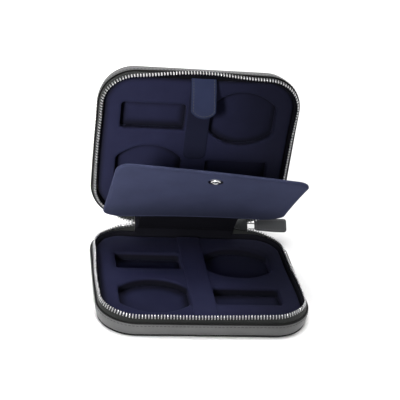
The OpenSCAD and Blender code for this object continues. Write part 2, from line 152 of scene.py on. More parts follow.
class Wire:
    """A socket that adds maths nodes when it is used in an expression."""

    def __init__(self, swatch: "Swatch", socket: bpy.types.NodeSocket) -> None:
        """Wraps a socket of one swatch."""
        self.swatch = swatch
        self.socket = socket

    def _maths(self, operation: str, first: object, second: object = None) -> "Wire":
        """Adds one Math node to the swatch."""
        values = {0: first} if second is None else {0: first, 1: second}
        return self.swatch.node("ShaderNodeMath", {"operation": operation}, values)["Value"]

    def __add__(self, other: object) -> "Wire":
        """Sum."""
        return self._maths("ADD", self, other)

    def __radd__(self, other: object) -> "Wire":
        """Sum."""
        return self._maths("ADD", other, self)

    def __sub__(self, other: object) -> "Wire":
        """Difference."""
        return self._maths("SUBTRACT", self, other)

    def __rsub__(self, other: object) -> "Wire":
        """Difference."""
        return self._maths("SUBTRACT", other, self)

    def __mul__(self, other: object) -> "Wire":
        """Product."""
        return self._maths("MULTIPLY", self, other)

    def __rmul__(self, other: object) -> "Wire":
        """Product."""
        return self._maths("MULTIPLY", other, self)

    def __truediv__(self, other: object) -> "Wire":
        """Quotient."""
        return self._maths("DIVIDE", self, other)

    def power(self, exponent: float) -> "Wire":
        """Power."""
        return self._maths("POWER", self, exponent)

    def sine(self) -> "Wire":
        """Sine."""
        return self._maths("SINE", self)

    def absolute(self) -> "Wire":
        """Size without its sign."""
        return self._maths("ABSOLUTE", self)


class Outputs:
    """A node's outputs by name, each as a Wire."""

    def __init__(self, swatch: "Swatch", made: bpy.types.Node) -> None:
        """Keeps the node and its swatch."""
        self.swatch = swatch
        self.made = made

    def __getitem__(self, name: str) -> Wire:
        """The output of that name."""
        return Wire(self.swatch, self.made.outputs[name])


class Swatch:
    """One material's node tree, with a Principled shader at its end."""

    def __init__(self, name: str) -> None:
        """Starts an empty material of that name."""
        self.material = bpy.data.materials.new(name)
        self.material.use_nodes = True
        self.tree = self.material.node_tree
        self.tree.nodes.clear()
        self.shader = self.tree.nodes.new("ShaderNodeBsdfPrincipled")
        self.output = self.tree.nodes.new("ShaderNodeOutputMaterial")
        self.tree.links.new(self.shader.outputs["BSDF"], self.output.inputs["Surface"])

    def node(self, kind: str, settings: dict[str, object] | None = None,
             inputs: dict[str | int, object] | None = None) -> Outputs:
        """Adds any node.

        Args:
            kind: the node's type.
            settings: its properties, set before its sockets.
            inputs: a value or a Wire for each socket named.

        Returns:
            The node's outputs.
        """
        made = self.tree.nodes.new(kind)
        for key, value in (settings or {}).items():
            setattr(made, key, value)
        for key, value in (inputs or {}).items():
            self.feed(made.inputs[key], value)
        return Outputs(self, made)

    def feed(self, socket: bpy.types.NodeSocket, value: object) -> None:
        """Links a Wire to a socket, or sets its value."""
        if isinstance(value, Wire):
            self.tree.links.new(value.socket, socket)
        else:
            socket.default_value = value

    def ramp(self, factor: Wire, stops: Sequence[tuple[float, Sequence[float]]]) -> Wire:
        """A colour ramp.

        Args:
            factor: what runs along the ramp.
            stops: places and their colours.

        Returns:
            The ramp's colour.
        """
        made = self.tree.nodes.new("ShaderNodeValToRGB")
        steps = made.color_ramp.elements
        while len(steps) < len(stops):
            steps.new(0.5)
        for step, (place, colour) in zip(steps, stops):
            step.position = place
            step.color = (*colour, 1.0)
        self.feed(made.inputs["Fac"], factor)
        return Wire(self, made.outputs["Color"])

    def place(self) -> Wire:
        """Object coordinates."""
        return self.node("ShaderNodeTexCoord")["Object"]

    def cloud(self, where: Wire, size_mm: float, detail: float = 2.0,
              rough: float = 0.5) -> Wire:
        """Soft noise.

        Args:
            where: the coordinates.
            size_mm: the size of its largest spots.
            detail: how many finer layers it has.
            rough: how strong the finer layers are.

        Returns:
            A value from 0 to 1.
        """
        return self.node("ShaderNodeTexNoise", {}, {
            "Vector": where, "Scale": 1 / (size_mm * MM), "Detail": detail,
            "Roughness": rough})["Fac"]

    def pebbles(self, where: Wire, size_mm: float, feature: str = "F1") -> Wire:
        """Voronoi distance with cells of a given size."""
        return self.node("ShaderNodeTexVoronoi", {"feature": feature}, {
            "Vector": where, "Scale": 1 / (size_mm * MM)})["Distance"]

    def bump(self, height: Wire, depth_mm: float, strength: float = 1.0) -> None:
        """Feeds a height through a Bump node to the shader's normal."""
        bumped = self.node("ShaderNodeBump", {}, {
            "Height": height, "Distance": depth_mm * MM, "Strength": strength})["Normal"]
        self.feed(self.shader.inputs["Normal"], bumped)

    def set(self, **constants: object) -> None:
        """Sets constant values on the shader, with _ for a space in a name."""
        for key, value in constants.items():
            self.shader.inputs[key.replace("_", " ")].default_value = value


def tint(colour: Sequence[float], factor: float) -> tuple[float, ...]:
    """A colour made lighter or darker."""
    return tuple(channel * factor for channel in colour)


@dataclass(frozen=True)
class Finish:
    """What every finish has: its name and its colour, in linear light."""

    name: str
    colour: Sequence[float]

    def make(self) -> bpy.types.Material:
        """Builds the material."""
        raise NotImplementedError


@dataclass(frozen=True)
class Suede(Finish):
    """Microsuede: a matt nap, brushed this way and that."""

    sheen: float = 0.35
    nap_mm: float = 0.35
    patch_mm: float = 26.0
    contrast: float = 0.14
    # Painted shade: how far the 'depth' attribute darkens the colour, and the dark colour it goes towards.
    painted_shade_strength: float = 0.85
    dark: Sequence[float] = (0.0035, 0.0035, 0.004)

    def make(self) -> bpy.types.Material:
        """Builds the material."""
        swatch = Swatch(self.name)
        where = swatch.place()
        patches = swatch.cloud(where, self.patch_mm, 3.0, 0.55)
        nap = swatch.cloud(where, self.nap_mm, 2.0, 0.6)
        tone = patches * 0.75 + nap * 0.25
        colour = swatch.ramp(tone, ((0.30, tint(self.colour, 1 - self.contrast)),
                                    (0.70, tint(self.colour, 1 + self.contrast))))
        # Painted shade: the 'depth' attribute mixes the colour towards near-black. It stands in for shade in
        # recesses, along rims, near the hinge and under the divider.
        depth = swatch.node("ShaderNodeAttribute", {"attribute_name": "depth"})["Fac"]
        deep = swatch.node("ShaderNodeMix", {"data_type": "RGBA"}, {
            "Factor": depth * self.painted_shade_strength, "A": colour,
            "B": (*self.dark, 1.0)})["Result"]
        swatch.feed(swatch.shader.inputs["Base Color"], deep)
        swatch.feed(swatch.shader.inputs["Roughness"], 0.80 + nap * 0.15)
        swatch.bump(nap, 0.10, 0.5)
        swatch.set(Sheen_Weight=self.sheen, Sheen_Roughness=0.45,
                   Sheen_Tint=(*tint(self.colour, 4.0), 1.0), Specular_IOR_Level=0.04)
        return swatch.material


@dataclass(frozen=True)
class GrainedLeather(Finish):
    """Satin leather with a pebble grain and soft creases."""

    grain_mm: float = 0.85
    grain_depth_mm: float = 0.06
    roughness: float = 0.36
    coat: float = 0.12
    mirror: float = 0.5

    def make(self) -> bpy.types.Material:
        """Builds the material."""
        swatch = Swatch(self.name)
        where = swatch.place()
        drift = swatch.node("ShaderNodeTexNoise", {}, {
            "Vector": where, "Scale": 1 / (3.0 * MM), "Detail": 2.0})["Color"]
        warped = swatch.node("ShaderNodeVectorMath", {"operation": "MULTIPLY_ADD"}, {
            0: drift, 1: (0.0009,) * 3, 2: where})["Vector"]
        grain = swatch.pebbles(warped, self.grain_mm, "DISTANCE_TO_EDGE")
        pebble = 1 - (1 - grain * 2.6).power(3.0)
        pores = swatch.cloud(where, 0.22, 2.0, 0.6)
        wear = swatch.cloud(where, 19.0, 3.0, 0.6)
        swatch.feed(swatch.shader.inputs["Base Color"], swatch.ramp(
            wear * 0.7 + pores * 0.3, (
                (0.30, tint(self.colour, 0.85)), (0.72, tint(self.colour, 1.2)))))
        swatch.feed(swatch.shader.inputs["Roughness"],
                    self.roughness + wear * 0.10 + pores * 0.06)
        swatch.bump(pebble * 0.8 + pores * 0.2, self.grain_depth_mm, 0.7)
        swatch.set(Specular_IOR_Level=self.mirror, Coat_Weight=self.coat, Coat_Roughness=0.3)
        return swatch.material


@dataclass(frozen=True)
class Metal(Finish):
    """Polished or plated metal with fine wear."""

    roughness: float = 0.14
    smear: float = 0.12

    def make(self) -> bpy.types.Material:
        """Builds the material."""
        swatch = Swatch(self.name)
        where = swatch.place()
        smears = swatch.cloud(where, 2.2, 3.0, 0.6)
        scratches = swatch.cloud(where, 0.3, 2.0, 0.7)
        swatch.feed(swatch.shader.inputs["Base Color"], swatch.ramp(smears, (
            (0.25, tint(self.colour, 0.9)), (0.75, self.colour))))
        swatch.feed(swatch.shader.inputs["Roughness"],
                    self.roughness + smears * self.smear)
        swatch.bump(scratches, 0.01, 0.35)
        swatch.set(Metallic=1.0)
        return swatch.material


@dataclass(frozen=True)
class WovenTape(Finish):
    """Zip tape: a fine herringbone along the tape's own map, in millimetres."""

    rib_mm: float = 0.62
    column_mm: float = 1.3

    def make(self) -> bpy.types.Material:
        """Builds the material."""
        swatch = Swatch(self.name)
        own = swatch.node("ShaderNodeTexCoord")["UV"]
        split = swatch.node("ShaderNodeSeparateXYZ", {}, {"Vector": own})
        along, across = split["X"], split["Y"]
        side = (across * (math.pi / self.column_mm)).sine()
        zigzag = along + side.absolute() * 0.55
        ribs = (zigzag * (2 * math.pi / self.rib_mm)).sine() * 0.5 + 0.5
        fuzz = swatch.cloud(swatch.place(), 0.4, 2.0, 0.6)
        tone = ribs * 0.6 + fuzz * 0.4
        swatch.feed(swatch.shader.inputs["Base Color"], swatch.ramp(tone, (
            (0.15, tint(self.colour, 0.6)), (0.85, tint(self.colour, 1.35)))))
        swatch.feed(swatch.shader.inputs["Roughness"], 0.72 + fuzz * 0.2)
        swatch.bump(ribs, 0.12, 0.6)
        swatch.set(Specular_IOR_Level=0.2, Sheen_Weight=0.1)
        return swatch.material


@dataclass(frozen=True)
class PaintedEdge(Finish):
    """Edge paint or thin folded leather: dark, smooth, a little uneven."""

    roughness: float = 0.45

    def make(self) -> bpy.types.Material:
        """Builds the material."""
        swatch = Swatch(self.name)
        where = swatch.place()
        waves = swatch.cloud(where, 1.6, 2.0, 0.5)
        swatch.feed(swatch.shader.inputs["Base Color"], swatch.ramp(waves, (
            (0.3, tint(self.colour, 0.8)), (0.7, tint(self.colour, 1.3)))))
        swatch.feed(swatch.shader.inputs["Roughness"], self.roughness + waves * 0.2)
        swatch.bump(waves, 0.06, 0.4)
        swatch.set(Specular_IOR_Level=0.12)
        return swatch.material


@dataclass(frozen=True)
class Thread(Finish):
    """Twisted sewing thread."""

    def make(self) -> bpy.types.Material:
        """Builds the material."""
        swatch = Swatch(self.name)
        where = swatch.place()
        fibres = swatch.cloud(where, 0.15, 2.0, 0.7)
        swatch.feed(swatch.shader.inputs["Base Color"], swatch.ramp(fibres, (
            (0.3, tint(self.colour, 0.7)), (0.7, tint(self.colour, 1.3)))))
        swatch.feed(swatch.shader.inputs["Roughness"], 0.6 + fibres * 0.25)
        swatch.bump(fibres, 0.05, 0.6)
        return swatch.material


@dataclass(frozen=True)
class Board(Finish):
    """Fibreboard, seen only when the case is taken apart."""

    def make(self) -> bpy.types.Material:
        """Builds the material."""
        swatch = Swatch(self.name)
        fibres = swatch.cloud(swatch.place(), 1.1, 4.0, 0.65)
        swatch.feed(swatch.shader.inputs["Base Color"], swatch.ramp(fibres, (
            (0.3, tint(self.colour, 0.8)), (0.7, tint(self.colour, 1.15)))))
        swatch.feed(swatch.shader.inputs["Roughness"], 0.82 + fibres * 0.1)
        swatch.bump(fibres, 0.1, 0.4)
        return swatch.material


FINISHES: dict[str, Finish] = {finish.name: finish for finish in (
    GrainedLeather("shell_leather", (0.060, 0.060, 0.061)),
    GrainedLeather("pull_leather", (0.018, 0.019, 0.021), grain_mm=0.5,
                   grain_depth_mm=0.03, roughness=0.5, coat=0.0, mirror=0.25),
    PaintedEdge("leather_edge", (0.004, 0.004, 0.004)),
    Suede("navy_suede", (0.029, 0.033, 0.064), sheen=0.3),
    Suede("insert_suede", (0.014, 0.015, 0.036), sheen=0.22),
    # The lid's band: the insert's suede darkened, a painted shade.
    Suede("painted_shade_band_suede", (0.010, 0.011, 0.024), sheen=0.15),
    Suede("tongue_suede", (0.016, 0.020, 0.044), sheen=0.25),
    Suede("black_lining", (0.004, 0.004, 0.006), sheen=0.05, contrast=0.2),
    WovenTape("woven_tape", (0.009, 0.010, 0.0095)),
    Metal("bright_nickel", (0.80, 0.80, 0.82)),
    Metal("tooth_nickel", (0.46, 0.46, 0.47), roughness=0.22),
    Metal("dark_gunmetal", (0.022, 0.023, 0.024), roughness=0.2),
    Thread("black_thread", (0.012, 0.012, 0.013)),
    Thread("charcoal_thread", (0.05, 0.05, 0.055)),
    Board("brown_board", (0.22, 0.17, 0.12)),
)}


class Paints:
    """Makes each finish once and hands it out by name."""

    def __init__(self) -> None:
        """Starts with nothing made."""
        self.made: dict[str, bpy.types.Material] = {}

    def __getitem__(self, name: str) -> bpy.types.Material:
        """The material of that name."""
        if name not in self.made:
            self.made[name] = FINISHES[name].make()
        return self.made[name]


PAINTS = Paints()

# The record's material slot for each finish
SLOTS = {
    "shell_leather": "grained_leather", "leather_edge": "leather_edge",
    "pull_leather": "pull_leather", "navy_suede": "navy_suede",
    "insert_suede": "insert_foam", "painted_shade_band_suede": "insert_foam",
    "tongue_suede": "navy_suede", "black_lining": "dark_lining",
    "woven_tape": "zip_tape", "bright_nickel": "zip_metal", "tooth_nickel": "zip_metal",
    "dark_gunmetal": "gunmetal",
    "black_thread": "grained_leather", "charcoal_thread": "pull_leather",
    "brown_board": "stiffener_board",
}


# ---------- shapes ----------

@dataclass(frozen=True)
class Station:
    """A place on an outline: a point, the way out of the outline, and the run so far."""

    x: float
    y: float
    nx: float
    ny: float
    run: float

    def inwards(self, inset: float) -> Flat:
        """The point that far inside the outline."""
        return self.x - self.nx * inset, self.y - self.ny * inset


def arc(cx: float, cy: float, r: float, start: float, end: float,
        steps: int) -> list[Flat]:
    """Points of an arc, with its two ends, angles in degrees."""
    angles = [math.radians(start + (end - start) * i / steps) for i in range(steps + 1)]
    return [(cx + r * math.cos(a), cy + r * math.sin(a)) for a in angles]


def oval(cx: float, cy: float, rx: float, ry: float, steps: int) -> list[Flat]:
    """Points of a whole oval."""
    angles = [2 * math.pi * i / steps for i in range(steps)]
    return [(cx + rx * math.cos(a), cy + ry * math.sin(a)) for a in angles]


def chamfered(cut_x: float, cut_y: float) -> list[Flat]:
    """Points of a square from -1 to 1 whose corners are cut."""
    return [(-1, -cut_y), (-cut_x, -1), (cut_x, -1), (1, -cut_y),
            (1, cut_y), (cut_x, 1), (-cut_x, 1), (-1, cut_y)]


def straight(x0: float, y0: float, x1: float, y1: float, step: float) -> list[Flat]:
    """Points of a straight line, with its two ends."""
    count = max(1, round(math.hypot(x1 - x0, y1 - y0) / step))
    return [(x0 + (x1 - x0) * i / count, y0 + (y1 - y0) * i / count)
            for i in range(count + 1)]


def bend(start: Flat, pull: Flat, end: Flat, steps: int) -> list[Flat]:
    """Points between the ends of a bend that is drawn towards a third point."""
    points = []
    for i in range(1, steps):
        t = i / steps
        a, b, c = (1 - t) ** 2, 2 * t * (1 - t), t * t
        points.append((a * start[0] + b * pull[0] + c * end[0],
                       a * start[1] + b * pull[1] + c * end[1]))
    return points


def normals_of(line: Sequence[Flat]) -> list[Flat]:
    """The way across a line at each of its points."""
    normals = []
    for k in range(len(line)):
        one, two = line[max(0, k - 1)], line[min(len(line) - 1, k + 1)]
        size = math.dist(one, two)
        normals.append(((two[1] - one[1]) / size, -(two[0] - one[0]) / size))
    return normals


def there_and_back(count: int) -> list[tuple[int, int]]:
    """Indices up one side of a strip and down the other, with the side as 1 or -1."""
    return [(k, 1) for k in range(count)] + [(k, -1) for k in reversed(range(count))]


@dataclass(frozen=True)
class RoundedBox:
    """A rounded rectangle, walked clockwise from the back's right half."""

    w: float
    d: float
    r: float
    cx: float = 0.0
    cy: float = 0.0
    step: float = 2.5
    corner_steps: int = 20

    def stations(self, start_x: float = 0.0, end_x: float | None = None) -> list[Station]:
        """Walks the outline.

        Args:
            start_x: where on the back the walk starts, from the middle.
            end_x: where on the back it ends, or None to go all the way round.

        Returns:
            The stations, the first not repeated at the end of a whole round.
        """
        hx, hy, r = self.w / 2 - self.r, self.d / 2 - self.r, self.r
        corners = ((hx, hy, 90.0), (hx, -hy, 0.0), (-hx, -hy, -90.0), (-hx, hy, -180.0))
        here = (start_x, hy + r)
        marks: list[tuple[float, float, float, float]] = []

        def line_to(x: float, y: float, angle: float) -> None:
            """Adds a straight stretch whose outward way has that angle."""
            nonlocal here
            for px, py in straight(*here, x, y, self.step):
                marks.append((px, py, math.cos(math.radians(angle)),
                              math.sin(math.radians(angle))))
            here = (x, y)

        for cx, cy, angle in corners:
            first = (cx + r * math.cos(math.radians(angle)),
                     cy + r * math.sin(math.radians(angle)))
            line_to(*first, angle)
            for step in range(1, self.corner_steps + 1):
                a = math.radians(angle - 90.0 * step / self.corner_steps)
                marks.append((cx + r * math.cos(a), cy + r * math.sin(a),
                              math.cos(a), math.sin(a)))
            here = marks[-1][:2]
        last_x = start_x if end_x is None else end_x
        line_to(last_x, hy + r, 90.0)
        kept: list[Station] = []
        run = 0.0
        for px, py, nx, ny in marks:
            spot = (px + self.cx, py + self.cy)
            if kept:
                gap = math.hypot(spot[0] - kept[-1].x, spot[1] - kept[-1].y)
                if gap < 1e-4:
                    continue
                run += gap
            kept.append(Station(*spot, nx, ny, run))
        if end_x is None and math.hypot(kept[0].x - kept[-1].x, kept[0].y - kept[-1].y) < 1e-4:
            kept.pop()
        return kept

    def outline(self, inset: float = 0.0) -> list[Flat]:
        """The whole outline as points, that far inside."""
        return [station.inwards(inset) for station in self.stations()]

    def depth(self, x: float, y: float) -> float:
        """How far inside the outline a point lies, less than 0 outside."""
        qx = abs(x - self.cx) - (self.w / 2 - self.r)
        qy = abs(y - self.cy) - (self.d / 2 - self.r)
        outside = math.hypot(max(qx, 0.0), max(qy, 0.0))
        return self.r - outside - min(max(qx, qy), 0.0)


@dataclass(frozen=True)
class HeadHole:
    """A watch-head cut-out: arcs in front and behind, flat at the sides."""

    cx: float
    cy: float
    w: float = 57.0
    d: float = 49.0
    flat: float = 24.0

    def _arc_r(self) -> float:
        """Radius of the arcs."""
        rise = (self.d - self.flat) / 2
        return ((self.w / 2) ** 2 + rise ** 2) / (2 * rise)

    def outline(self) -> list[Flat]:
        """The outline as points."""
        r = self._arc_r()
        half = math.degrees(math.asin(self.w / 2 / r))
        front = arc(self.cx, self.cy - self.d / 2 + r, r, 270 - half, 270 + half, 28)
        back = arc(self.cx, self.cy + self.d / 2 - r, r, 90 - half, 90 + half, 28)
        return front + back

    def depth(self, x: float, y: float) -> float:
        """How far inside the cut-out a point lies, less than 0 outside."""
        r = self._arc_r()
        front = r - math.hypot(x - self.cx, y - (self.cy - self.d / 2 + r))
        back = r - math.hypot(x - self.cx, y - (self.cy + self.d / 2 - r))
        return min(self.w / 2 - abs(x - self.cx), front, back)


@contextmanager
def opened(mesh: bpy.types.Mesh) -> Iterator[bmesh.types.BMesh]:
    """Opens a mesh for editing, and writes it back."""
    shaped = bmesh.new()
    shaped.from_mesh(mesh)
    yield shaped
    shaped.to_mesh(mesh)
    shaped.free()


def stand(name: str, data: bpy.types.ID) -> bpy.types.Object:
    """Makes an object of its data, in the scene."""
    made = bpy.data.objects.new(name, data)
    bpy.context.scene.collection.objects.link(made)
    return made


def shade(mesh: bpy.types.Mesh, painted_shades: Sequence[float]) -> None:
    """Stores the painted shade of each point of a mesh as its 'depth' attribute, which darkens the suede's
    colour.
    """
    store = mesh.attributes.new("depth", "FLOAT", "POINT")
    store.data.foreach_set("value", painted_shades)


class Clay:
    """Gathers vertices in millimetres and faces, and makes a mesh object of them."""

    def __init__(self, name: str, place: Callable[[Sequence[float]], Vector]) -> None:
        """Starts an empty mesh.

        Args:
            name: the piece's name.
            place: turns a point in millimetres into the frame, in metres.
        """
        self.name = name
        self.place = place
        self.points: list[Vector] = []
        self.faces: list[tuple[int, ...]] = []
        self.maps: list[list[Flat]] = []

    def sweep(self, rows: Sequence[Sequence[Point]], round_rows: bool, round_path: bool,
              runs: Sequence[float] | None = None, closed_ends: bool = True) -> "Clay":
        """Adds a surface through rows of points.

        Args:
            rows: one row of points for each place along the path.
            round_rows: whether each row closes on itself.
            round_path: whether the path closes on itself.
            runs: the run along the path of each row, for the piece's own map.
            closed_ends: whether an open path gets end faces.

        Returns:
            The same mesh, to go on with.
        """
        first = len(self.points)
        wide = len(rows[0])
        runs = runs or [0.0] * len(rows)
        around = [0.0]
        for one, two in zip(rows[0], rows[0][1:]):
            around.append(around[-1] + math.dist(one, two))
        for row in rows:
            self.points.extend(self.place(point) for point in row)
        path_count = len(rows) if round_path else len(rows) - 1
        row_count = wide if round_rows else wide - 1
        for i in range(path_count):
            j = (i + 1) % len(rows)
            for k in range(row_count):
                n = (k + 1) % wide
                self.faces.append((first + i * wide + k, first + i * wide + n,
                                   first + j * wide + n, first + j * wide + k))
                run_j = runs[j] if j else runs[i] + 1.0
                self.maps.append([(runs[i], around[k]), (runs[i], around[n]),
                                  (run_j, around[n]), (run_j, around[k])])
        if closed_ends and not round_path and round_rows:
            for row, turn in ((0, 1), (len(rows) - 1, -1)):
                loop = tuple(first + row * wide + k for k in range(wide))[::turn]
                self.faces.append(loop)
                self.maps.append([(0.0, 0.0)] * wide)
        return self

    def slab(self, outer: Sequence[Flat], z0: float, z1: float) -> "Clay":
        """Adds a flat plate of that outline between two heights."""
        rows = [[(x, y, z0) for x, y in outer], [(x, y, z1) for x, y in outer]]
        return self.sweep(rows, True, False)

    def cast(self, painted_shades: Sequence[float] | None = None) -> bpy.types.Object:
        """Makes the object, with its faces turned outwards.

        Args:
            painted_shades: the painted shade of each point, which darkens the suede's colour.

        Returns:
            The object.
        """
        mesh = bpy.data.meshes.new(self.name)
        mesh.from_pydata([tuple(p) for p in self.points], [], self.faces)
        if painted_shades:
            shade(mesh, painted_shades)
        layer = mesh.uv_layers.new(name="own")
        index = 0
        for spots in self.maps:
            for spot in spots:
                layer.data[index].uv = spot
                index += 1
        mesh.validate()
        with opened(mesh) as shaped:
            bmesh.ops.remove_doubles(shaped, verts=shaped.verts, dist=1e-7)
            bmesh.ops.recalc_face_normals(shaped, faces=shaped.faces)
        return stand(self.name, mesh)


def smooth(piece: bpy.types.Object, angle: float = 40.0) -> bpy.types.Object:
    """Shades a piece smoothly, but for edges sharper than the angle in degrees."""
    mesh = piece.data
    mesh.polygons.foreach_set("use_smooth", [True] * len(mesh.polygons))
    with opened(mesh) as shaped:
        for edge in shaped.edges:
            flat = edge.calc_face_angle(0) < math.radians(angle)
            edge.smooth = len(edge.link_faces) != 2 or flat
    return piece


def settle(piece: bpy.types.Object) -> bpy.types.Object:
    """Turns a piece's modifiers into its plain mesh."""
    bpy.context.view_layer.update()
    graph = bpy.context.evaluated_depsgraph_get()
    mesh = bpy.data.meshes.new_from_object(piece.evaluated_get(graph))
    piece.modifiers.clear()
    piece.data = mesh
    return piece


def dress(piece: bpy.types.Object, finish: str, body: str | None,
          replaces: Iterable[str] = ()) -> bpy.types.Object:
    """Gives a piece its finish and its body.

    Args:
        piece: the piece, in place.
        finish: the finish's name.
        body: the body that it rides on, or None where it is blended.
        replaces: the nodes that it stands for.

    Returns:
        The piece.
    """
    piece.data.materials.clear()
    piece.data.materials.append(PAINTS[finish])
    if body:
        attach(piece, body)
    SLOTS[finish]
    names = list(replaces)
    if names:
        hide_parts(*names)
    log.info("%s: %s on %s, %d faces", piece.name, finish, body, len(piece.data.polygons))
    return piece


def lathe(name: str, profile: Sequence[Flat], place: Callable[[Sequence[float]], Vector],
          steps: int = 48) -> bpy.types.Object:
    """Turns a profile of radius and height about its own upright line.

    Args:
        name: the piece's name.
        profile: radii and heights from the middle of the underside to the middle on top.
        place: turns a point in millimetres into the frame.
        steps: how many faces go round.

    Returns:
        The piece.
    """
    rows = [[(r * x, r * y, z) for r, z in profile] for x, y in oval(0, 0, 1, 1, steps)]
    piece = Clay(name, place).sweep(rows, False, True).cast()
    return smooth(piece, 35)


# ---------- padding ----------

@dataclass(frozen=True)
class Padding:
    """A padded slab: an outline with holes, made soft at its edges."""

    name: str
    outer: Sequence[Flat]
    holes: Sequence[Sequence[Flat]]
    z0: float
    z1: float
    voxel: float
    rounds: int = 6
    strength: float = 0.6

    def rough(self) -> bpy.types.Object:
        """The slab with hard edges, in metres, lying closed."""
        curve = bpy.data.curves.new(self.name, "CURVE")
        curve.dimensions = "2D"
        curve.fill_mode = "BOTH"
        curve.extrude = (self.z1 - self.z0) / 2 * MM
        for loop in (self.outer, *self.holes):
            spline = curve.splines.new("POLY")
            spline.points.add(len(loop) - 1)
            for point, (x, y) in zip(spline.points, loop):
                point.co = (x * MM, y * MM, 0.0, 1.0)
            spline.use_cyclic_u = True
        drawn = stand(self.name + "_outline", curve)
        bpy.context.view_layer.update()
        graph = bpy.context.evaluated_depsgraph_get()
        mesh = bpy.data.meshes.new_from_object(drawn.evaluated_get(graph))
        bpy.data.objects.remove(drawn)
        mesh.transform(Matrix.Translation((0, 0, (self.z0 + self.z1) / 2 * MM)))
        return stand(self.name, mesh)

    def cast(self, shape: Callable[[Vector], Vector]) -> bpy.types.Object:
        """Remeshes the slab, softens its edges and moves each point.

        Args:
            shape: takes a point in millimetres, lying closed, and returns it in the
                frame, in metres.

        Returns:
            The piece.
        """
        piece = self.rough()
        fine = piece.modifiers.new("remesh", "REMESH")
        fine.mode = "VOXEL"
        fine.voxel_size = self.voxel * MM
        soft = piece.modifiers.new("soften", "SMOOTH")
        soft.factor = self.strength
        soft.iterations = self.rounds
        settle(piece)
        mesh = piece.data
        for vertex in mesh.vertices:
            vertex.co = shape(vertex.co / MM)
        with opened(mesh) as shaped:
            bmesh.ops.recalc_face_normals(shaped, faces=shaped.faces)
        return smooth(piece, 180)


def ease(t: float) -> float:
    """A smooth step from 0 to 1."""
    t = min(1.0, max(0.0, t))
    return t * t * (3 - 2 * t)


# ---------- rows of small pieces ----------

class RowRecipe:
    """A geometry tree that sets copies of a piece along a line, each on its own lean."""

    def __init__(self, name: str) -> None:
        """Builds the tree."""
        group = bpy.data.node_groups.new(name, "GeometryNodeTree")
        face = group.interface
        face.new_socket("Line", in_out="INPUT", socket_type="NodeSocketGeometry")
        self.piece = face.new_socket("Piece", in_out="INPUT", socket_type="NodeSocketObject")
        self.pitch = face.new_socket("Pitch", in_out="INPUT", socket_type="NodeSocketFloat")
        self.paint = face.new_socket("Material", in_out="INPUT",
                                     socket_type="NodeSocketMaterial")
        face.new_socket("Row", in_out="OUTPUT", socket_type="NodeSocketGeometry")
        self.group = group
        add = group.nodes.new
        source = add("NodeGroupInput")
        sink = add("NodeGroupOutput")
        to_curve = add("GeometryNodeMeshToCurve")
        spaced = add("GeometryNodeResampleCurve")
        spaced.mode = "LENGTH"
        info = add("GeometryNodeObjectInfo")
        lean = add("GeometryNodeInputNamedAttribute")
        lean.data_type = "FLOAT_VECTOR"
        lean.inputs["Name"].default_value = "lean"
        upright = add("FunctionNodeAlignRotationToVector")
        upright.axis = "Z"
        forward = add("FunctionNodeAlignRotationToVector")
        forward.axis = "X"
        forward.pivot_axis = "Z"
        heading = add("GeometryNodeInputTangent")
        copies = add("GeometryNodeInstanceOnPoints")
        real = add("GeometryNodeRealizeInstances")
        painted = add("GeometryNodeSetMaterial")
        link = group.links.new
        link(source.outputs["Line"], to_curve.inputs[0])
        link(to_curve.outputs[0], spaced.inputs["Curve"])
        link(source.outputs["Pitch"], spaced.inputs["Length"])
        link(source.outputs["Piece"], info.inputs["Object"])
        link(lean.outputs["Attribute"], upright.inputs["Vector"])
        link(upright.outputs["Rotation"], forward.inputs["Rotation"])
        link(heading.outputs["Tangent"], forward.inputs["Vector"])
        link(spaced.outputs["Curve"], copies.inputs["Points"])
        link(info.outputs["Geometry"], copies.inputs["Instance"])
        link(forward.outputs["Rotation"], copies.inputs["Rotation"])
        link(copies.outputs["Instances"], real.inputs["Geometry"])
        link(real.outputs["Geometry"], painted.inputs["Geometry"])
        link(source.outputs["Material"], painted.inputs["Material"])
        link(painted.outputs["Geometry"], sink.inputs["Row"])

    def lay(self, name: str, spots: Sequence[Vector], leans: Sequence[Vector],
            piece: bpy.types.Object, pitch_mm: float, finish: str) -> bpy.types.Object:
        """Lays one row.

        Args:
            name: the row's name.
            spots: the line's points, in metres.
            leans: which way up is, at each point.
            piece: the piece to repeat, upright at the origin, in metres.
            pitch_mm: the distance from one copy to the next.
            finish: the finish's name.

        Returns:
            The row as a plain mesh.
        """
        mesh = bpy.data.meshes.new(name)
        mesh.from_pydata([tuple(p) for p in spots],
                         [(i, i + 1) for i in range(len(spots) - 1)], [])
        length = sum((b - a).length for a, b in zip(spots, spots[1:]))
        just_under = 0.9999
        pitch = length / round(length / (pitch_mm * MM)) * just_under
        store = mesh.attributes.new("lean", "FLOAT_VECTOR", "POINT")
        for item, lean in zip(store.data, leans):
            item.vector = lean
        row = stand(name, mesh)
        recipe = row.modifiers.new("row", "NODES")
        recipe.node_group = self.group
        recipe[self.piece.identifier] = piece
        recipe[self.pitch.identifier] = pitch
        recipe[self.paint.identifier] = PAINTS[finish]
        settle(row)
        for extra in [a.name for a in row.data.attributes if a.name == "lean"]:
            row.data.attributes.remove(row.data.attributes[extra])
        return row


